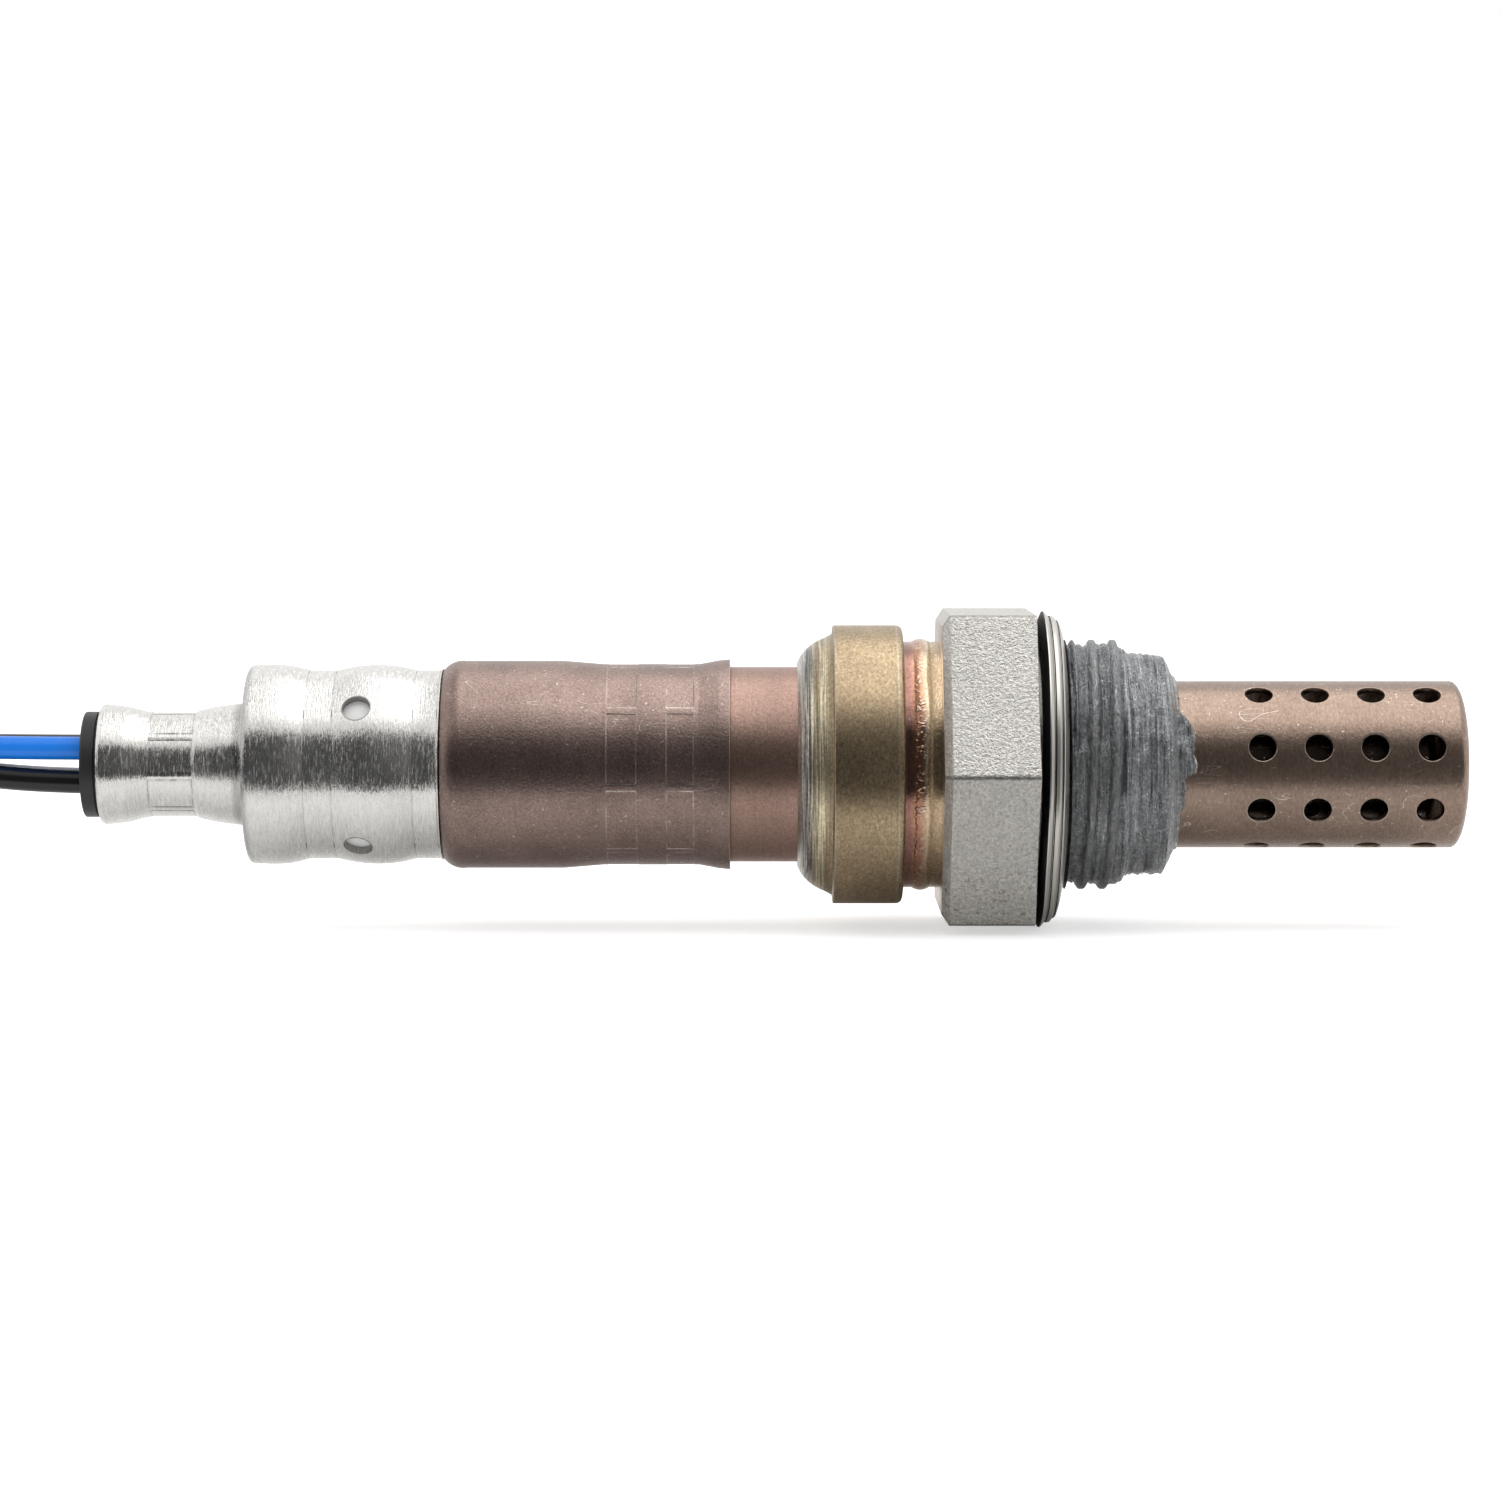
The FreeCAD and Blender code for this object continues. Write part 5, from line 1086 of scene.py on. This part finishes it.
class OBJECT_OT_sensor_leads(Operator):
    """Lays the four leads from the grommet through their hank to the plug"""
    bl_idname = "object.sensor_leads"
    bl_label = "Leads"

    def execute(self, context):
        sizes = context.scene.sensor_sizes
        finishes = {name: lead_finish(name + "_insulation", colour_of(name))
                    for name in ("blue", "black", "white")}
        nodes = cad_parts
        plug = ["plug_housing", "plug_ring_seal", "plug_retainer"]
        for name, (side, height) in LEAD_PLACES.items():
            points = self.route(side, height, sizes)
            lead = self.curve(name + "_run", points, sizes.lead_diameter, finishes[name.split("_")[0]])
            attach(lead, "root")
            "lead_" + name.split("_")[0]
            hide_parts(name, name + "_tail", "lead_coil")
            pieces = [nodes[name.replace("lead", "seal")], nodes[name.replace("lead", "socket")]]
            if name == "blue_lead":
                pieces += [nodes[node] for node in plug] + [nodes["coil_tie"]]
            self.length(lead)
        return {"FINISHED"}

    def route(self, side, height, sizes):
        """The lead's control points: out of the grommet, round the hank, and to the plug.

        Each place is (along, across, up, half the distance between two leads), in millimetres.
        """
        low, mid, top = HANK_LEVELS
        lead = [(-44.3, 0, 0, 2.12), (-54.89, 0, 0, GROMMET_STEP), (-69.29, 0, 0, GROMMET_STEP),
                (-76.29, 0.4, 0.35, 0.94), (-83.29, 3.5, -0.4, HANK_STEP), (-89.79, 7.8, -1.9, HANK_STEP),
                (-96.0, 10.2, top, HANK_STEP), (-102.5, 10.2, top, HANK_STEP)]
        tail = [(-133.0, 10.2, low, HANK_STEP), (-139.5, 10.2, low, HANK_STEP),
                (-146.5, 7.6, low + 1.9, 1.34), (-153.5, 5.0, -4.59, 2.05), (-160.0, 4.4, -4.19, 2.25),
                (-166.9, 4.4, -4.19, 2.25)]
        radius, half = sizes.fold_radius / MM + side * HANK_STEP, sizes.hank_run / MM / 2
        points = [self.offset(point, side, height) for point in lead]
        first_run = self.run(1, half, radius)[2:]
        turn = self.fold(-1, half, radius) + self.run(-1, half, radius)
        turn += self.fold(1, half, radius) + self.run(1, half, radius)
        for number, (along, across) in enumerate(first_run + turn * sizes.hank_turns):
            # One turn lies on the next, so the lead climbs down on the first run of each.
            turns_done = (number - len(first_run)) / len(turn)
            level = top + (mid - top) * soft_step(turns_done, 0, 0.31)
            level += (low - mid) * soft_step(turns_done, 1, 1.31)
            points.append(Vector((HANK_CENTRE + along, across, level + height * HANK_STEP)))
        points += [self.offset(point, side, height) for point in tail]
        return points

    def fold(self, end, half, radius, steps=8):
        """The control points of a half-round fold at one end of the hank."""
        reach = radius / math.cos(math.pi / steps / 2)
        angles = [math.pi * ((step + 0.5) / steps - end / 2) for step in range(steps)]
        return [(end * half + reach * math.cos(angle), reach * math.sin(angle)) for angle in angles]

    def run(self, end, half, radius):
        """The control points of the straight run that follows the fold."""
        return [(end * half * (1 - 2 * part / 6), end * radius) for part in range(1, 6)]

    def offset(self, point, side, height):
        place, across, up, spread = point
        return Vector((place, across + side * spread, up + height * spread))

    def curve(self, name, points, diameter, material):
        data = bpy.data.curves.new(name, "CURVE")
        data.dimensions = "3D"
        spline = data.splines.new("NURBS")
        spline.points.add(len(points) - 1)
        for target, point in zip(spline.points, points):
            target.co = (*(point * MM), 1.0)
        spline.order_u = 3
        spline.use_endpoint_u = True
        spline.resolution_u = 8
        data.bevel_depth = diameter / 2
        data.bevel_resolution = 6
        data.use_fill_caps = True
        data.materials.append(material)
        lead = bpy.data.objects.new(name, data)
        bpy.context.scene.collection.objects.link(lead)
        return lead

    def length(self, lead):
        """The lead's own length, measured on its line."""
        bare = lead.copy()
        bare.data = lead.data.copy()
        bare.data.bevel_depth = 0.0
        mesh = bpy.data.meshes.new_from_object(bare)
        line = [vertex.co.copy() for vertex in mesh.vertices]
        bpy.data.meshes.remove(mesh)
        bpy.data.objects.remove(bare)
        return round(sum((b - a).length for a, b in zip(line, line[1:])), 3)


class OBJECT_OT_sensor_trim(Operator):
    """Gives the grommet, the inner pieces, the tie and the plug their finishes"""
    bl_idname = "object.sensor_trim"
    bl_label = "Trim and inner pieces"

    def execute(self, context):
        steel = plain_finish("bright_steel", colour_of("hexagon"), 0.28, 3000.0, metallic=1.0)
        nickel = plain_finish("nickel_strip", colour_of("silver"), 0.25, 2600.0, metallic=1.0)
        ceramic = plain_finish("fired_ceramic", (0.78, 0.75, 0.68), 0.55, 1500.0)
        zirconia = plain_finish("zirconia", (0.82, 0.81, 0.77), 0.45, 2200.0)
        powder = plain_finish("pressed_powder", (0.5, 0.49, 0.46), 0.85, 3500.0, 0.00004)
        rubber = plain_finish("grommet_rubber", colour_of("rubber"), 0.42, 2200.0)
        nylon = plain_finish("tie_nylon", (0.02, 0.02, 0.021), 0.4, 1400.0)
        moulded = plain_finish("plug_plastic", (0.055, 0.056, 0.06), 0.48, 1700.0, 0.00002)
        lock = plain_finish("retainer_plastic", (0.34, 0.05, 0.015), 0.42, 1700.0, 0.00002)
        silicone = plain_finish("seal_silicone", (0.5, 0.13, 0.03), 0.5, 1900.0)
        # The inner tube is the bronze at 0.22 of its brightness: painted shade inside the pierced tube.
        tube = bronze_finish("bronze_inner_painted_shade", rims=False, level=0.22)
        finishes = {
            "inner_protection_tube": tube, "sensing_element": zirconia, "heater_rod": ceramic,
            "seat_packing": steel, "crimp_ring": steel, "powder_seal": powder, "shell_bush": ceramic,
            "grommet": rubber, "rear_insulator": ceramic,
            "insulator_spring": steel, "inner_contact": nickel, "outer_contact": nickel,
            "heater_contact_back": nickel, "heater_contact_front": nickel, "coil_tie": nylon,
            "plug_housing": moulded, "plug_retainer": lock, "plug_ring_seal": silicone,
        }
        for name in LEAD_PLACES:
            finishes[name.replace("lead", "terminal")] = nickel
            finishes[name.replace("lead", "socket")] = nickel
            finishes[name.replace("lead", "seal")] = silicone
        for name, material in finishes.items():
            dress_node(name, material)
        return {"FINISHED"}


class SCENE_OT_sensor_studio(Operator):
    """Sets up the camera, the white floor, the softbox and the dark flags"""
    bl_idname = "scene.sensor_studio"
    bl_label = "Studio"

    def execute(self, context):
        self.set_camera(context)
        self.set_world(context)
        self.set_floor(context)
        self.set_lights(context)
        context.scene.view_settings.view_transform = "Standard"
        return {"FINISHED"}

    def set_camera(self, context):
        studio = context.scene.sensor_studio
        distance, height = studio.camera_distance, studio.camera_height
        data = bpy.data.cameras.new("camera")
        data.sensor_width = 36.0
        data.lens = 36.0 * distance / studio.frame_width
        data.clip_start, data.clip_end = 0.01, 20.0
        camera = bpy.data.objects.new("camera", data)
        context.scene.collection.objects.link(camera)
        target = Vector((-20.0, 0.0, 1.02)) * MM
        back = Vector((0.0, -math.cos(height), math.sin(height)))
        camera.location = target + back * distance
        camera.rotation_mode = "QUATERNION"
        camera.rotation_quaternion = (-back).to_track_quat("-Z", "Y")
        context.scene.camera = camera

    def set_world(self, context):
        """White where it is seen or mirrored, and a plainer grey as light."""
        world = bpy.data.worlds.new("room")
        context.scene.world = world
        world.use_nodes = True
        tree = Tree(world.node_tree)
        background = world.node_tree.nodes["Background"]
        path = tree.node("ShaderNodeLightPath")
        seen = tree.most(path["Is Camera Ray"], path["Is Transmission Ray"], path["Is Glossy Ray"])
        surround = context.scene.sensor_studio.surround
        tree.feed(background.inputs["Color"], (1.0, 1.0, 1.0))
        tree.feed(background.inputs["Strength"], tree.span(seen, 0.0, 1.0, surround, 1.0, smooth=False))

    def set_floor(self, context):
        level = CAD_BOX[0].z
        tree = Material("white_floor")
        seen = tree.node("ShaderNodeLightPath")["Is Camera Ray"]
        material = tree.surface((0.9, 0.9, 0.9), 1.0, specular_ior_level=0.0,
                                emission_color=(1.0, 1.0, 1.0), emission_strength=seen * 0.55)
        self.sheet(context, "floor", [(-3.0, -3.0, level), (3.0, -3.0, level), (3.0, 3.0, level),
                                      (-3.0, 3.0, level)], material)

    def set_lights(self, context):
        """A softbox overhead with a scrim over the steel cover, and flags, darker on the leads' side."""
        studio = context.scene.sensor_studio
        scrim_height, flag_top = 0.12, 0.235
        light = bpy.data.lights.new("softbox", "AREA")
        light.shape = "RECTANGLE"
        light.size, light.size_y = 0.7, 0.54
        light.energy = studio.softbox * math.pi * light.size * light.size_y
        lamp = bpy.data.objects.new("softbox", light)
        lamp.location = (-0.02, 0.0, 0.42)
        lamp.rotation_euler = (math.radians(-6), 0.0, 0.0)
        context.scene.collection.objects.link(lamp)
        level = CAD_BOX[0].z + 0.0002
        for side, brightness, near in (("dark", studio.flag, -0.6), ("grey", studio.grey_flag, 0.6)):
            finish = self.card_finish(side + "_flag", brightness)
            self.flag(context, side + "_flag_on_floor", finish, [
                (near, -0.9, level), (0.03, -0.9, level), (-0.006, -0.026, level), (near, -0.026, level)])
            self.flag(context, side + "_flag_upright", finish, [
                (near, -0.25, level), (0.03, -0.25, level),
                (0.03, -0.25, flag_top), (near, -0.25, flag_top)])
        self.flag(context, "scrim", self.card_finish("scrim", studio.scrim), [
            (-0.125, -0.128, scrim_height), (-0.055, -0.128, scrim_height),
            (-0.055, 0.08, scrim_height), (-0.125, 0.08, scrim_height)])

    def card_finish(self, name, brightness):
        return Material(name).surface((0.0, 0.0, 0.0), 0.5, specular_ior_level=0.0,
                                      emission_color=(1.0, 1.0, 1.0), emission_strength=brightness)

    def flag(self, context, name, material, corners):
        """A card that only mirrors show."""
        flag = self.sheet(context, name, corners, material)
        flag.visible_camera = False
        flag.visible_diffuse = False
        flag.visible_shadow = False
        flag.visible_transmission = False

    def sheet(self, context, name, corners, material):
        mesh = bpy.data.meshes.new(name)
        mesh.from_pydata(corners, [], [(0, 1, 2, 3)])
        mesh.materials.append(material)
        sheet = bpy.data.objects.new(name, mesh)
        context.scene.collection.objects.link(sheet)
        return sheet


class VIEW3D_PT_sensor(Panel):
    """Lists the sensor's pieces, their sizes and their colours"""
    bl_label = "Oxygen Sensor"
    bl_idname = "VIEW3D_PT_sensor"
    bl_space_type = "VIEW_3D"
    bl_region_type = "UI"
    bl_category = "Oxygen Sensor"

    def draw(self, context):
        layout = self.layout
        for operator in OPERATORS:
            layout.operator(operator.bl_idname)
        scene = context.scene
        for group in (scene.sensor_sizes, scene.sensor_colours, scene.sensor_studio):
            box = layout.box()
            for name in group.__annotations__:
                box.prop(group, name)


OPERATORS = (
    SCENE_OT_sensor_studio,
    OBJECT_OT_sensor_leads,
    OBJECT_OT_sensor_shell,
    OBJECT_OT_sensor_sealing_ring,
    OBJECT_OT_sensor_tip_tube,
    OBJECT_OT_sensor_paste,
    OBJECT_OT_sensor_main_cover,
    OBJECT_OT_sensor_heat_sleeve,
    OBJECT_OT_sensor_filter_cover,
    OBJECT_OT_sensor_trim,
)
CLASSES = (SensorSizes, SensorColours, StudioSettings, *OPERATORS, VIEW3D_PT_sensor)


def register():
    for item in CLASSES:
        bpy.utils.register_class(item)
    bpy.types.Scene.sensor_sizes = PointerProperty(type=SensorSizes)
    bpy.types.Scene.sensor_colours = PointerProperty(type=SensorColours)
    bpy.types.Scene.sensor_studio = PointerProperty(type=StudioSettings)


def unregister():
    del bpy.types.Scene.sensor_studio
    del bpy.types.Scene.sensor_colours
    del bpy.types.Scene.sensor_sizes
    for item in reversed(CLASSES):
        bpy.utils.unregister_class(item)


def main():
    register()
    for operator in OPERATORS:
        area, call = operator.bl_idname.split(".")
        getattr(getattr(bpy.ops, area), call)()


if __name__ == "__main__":
    main()
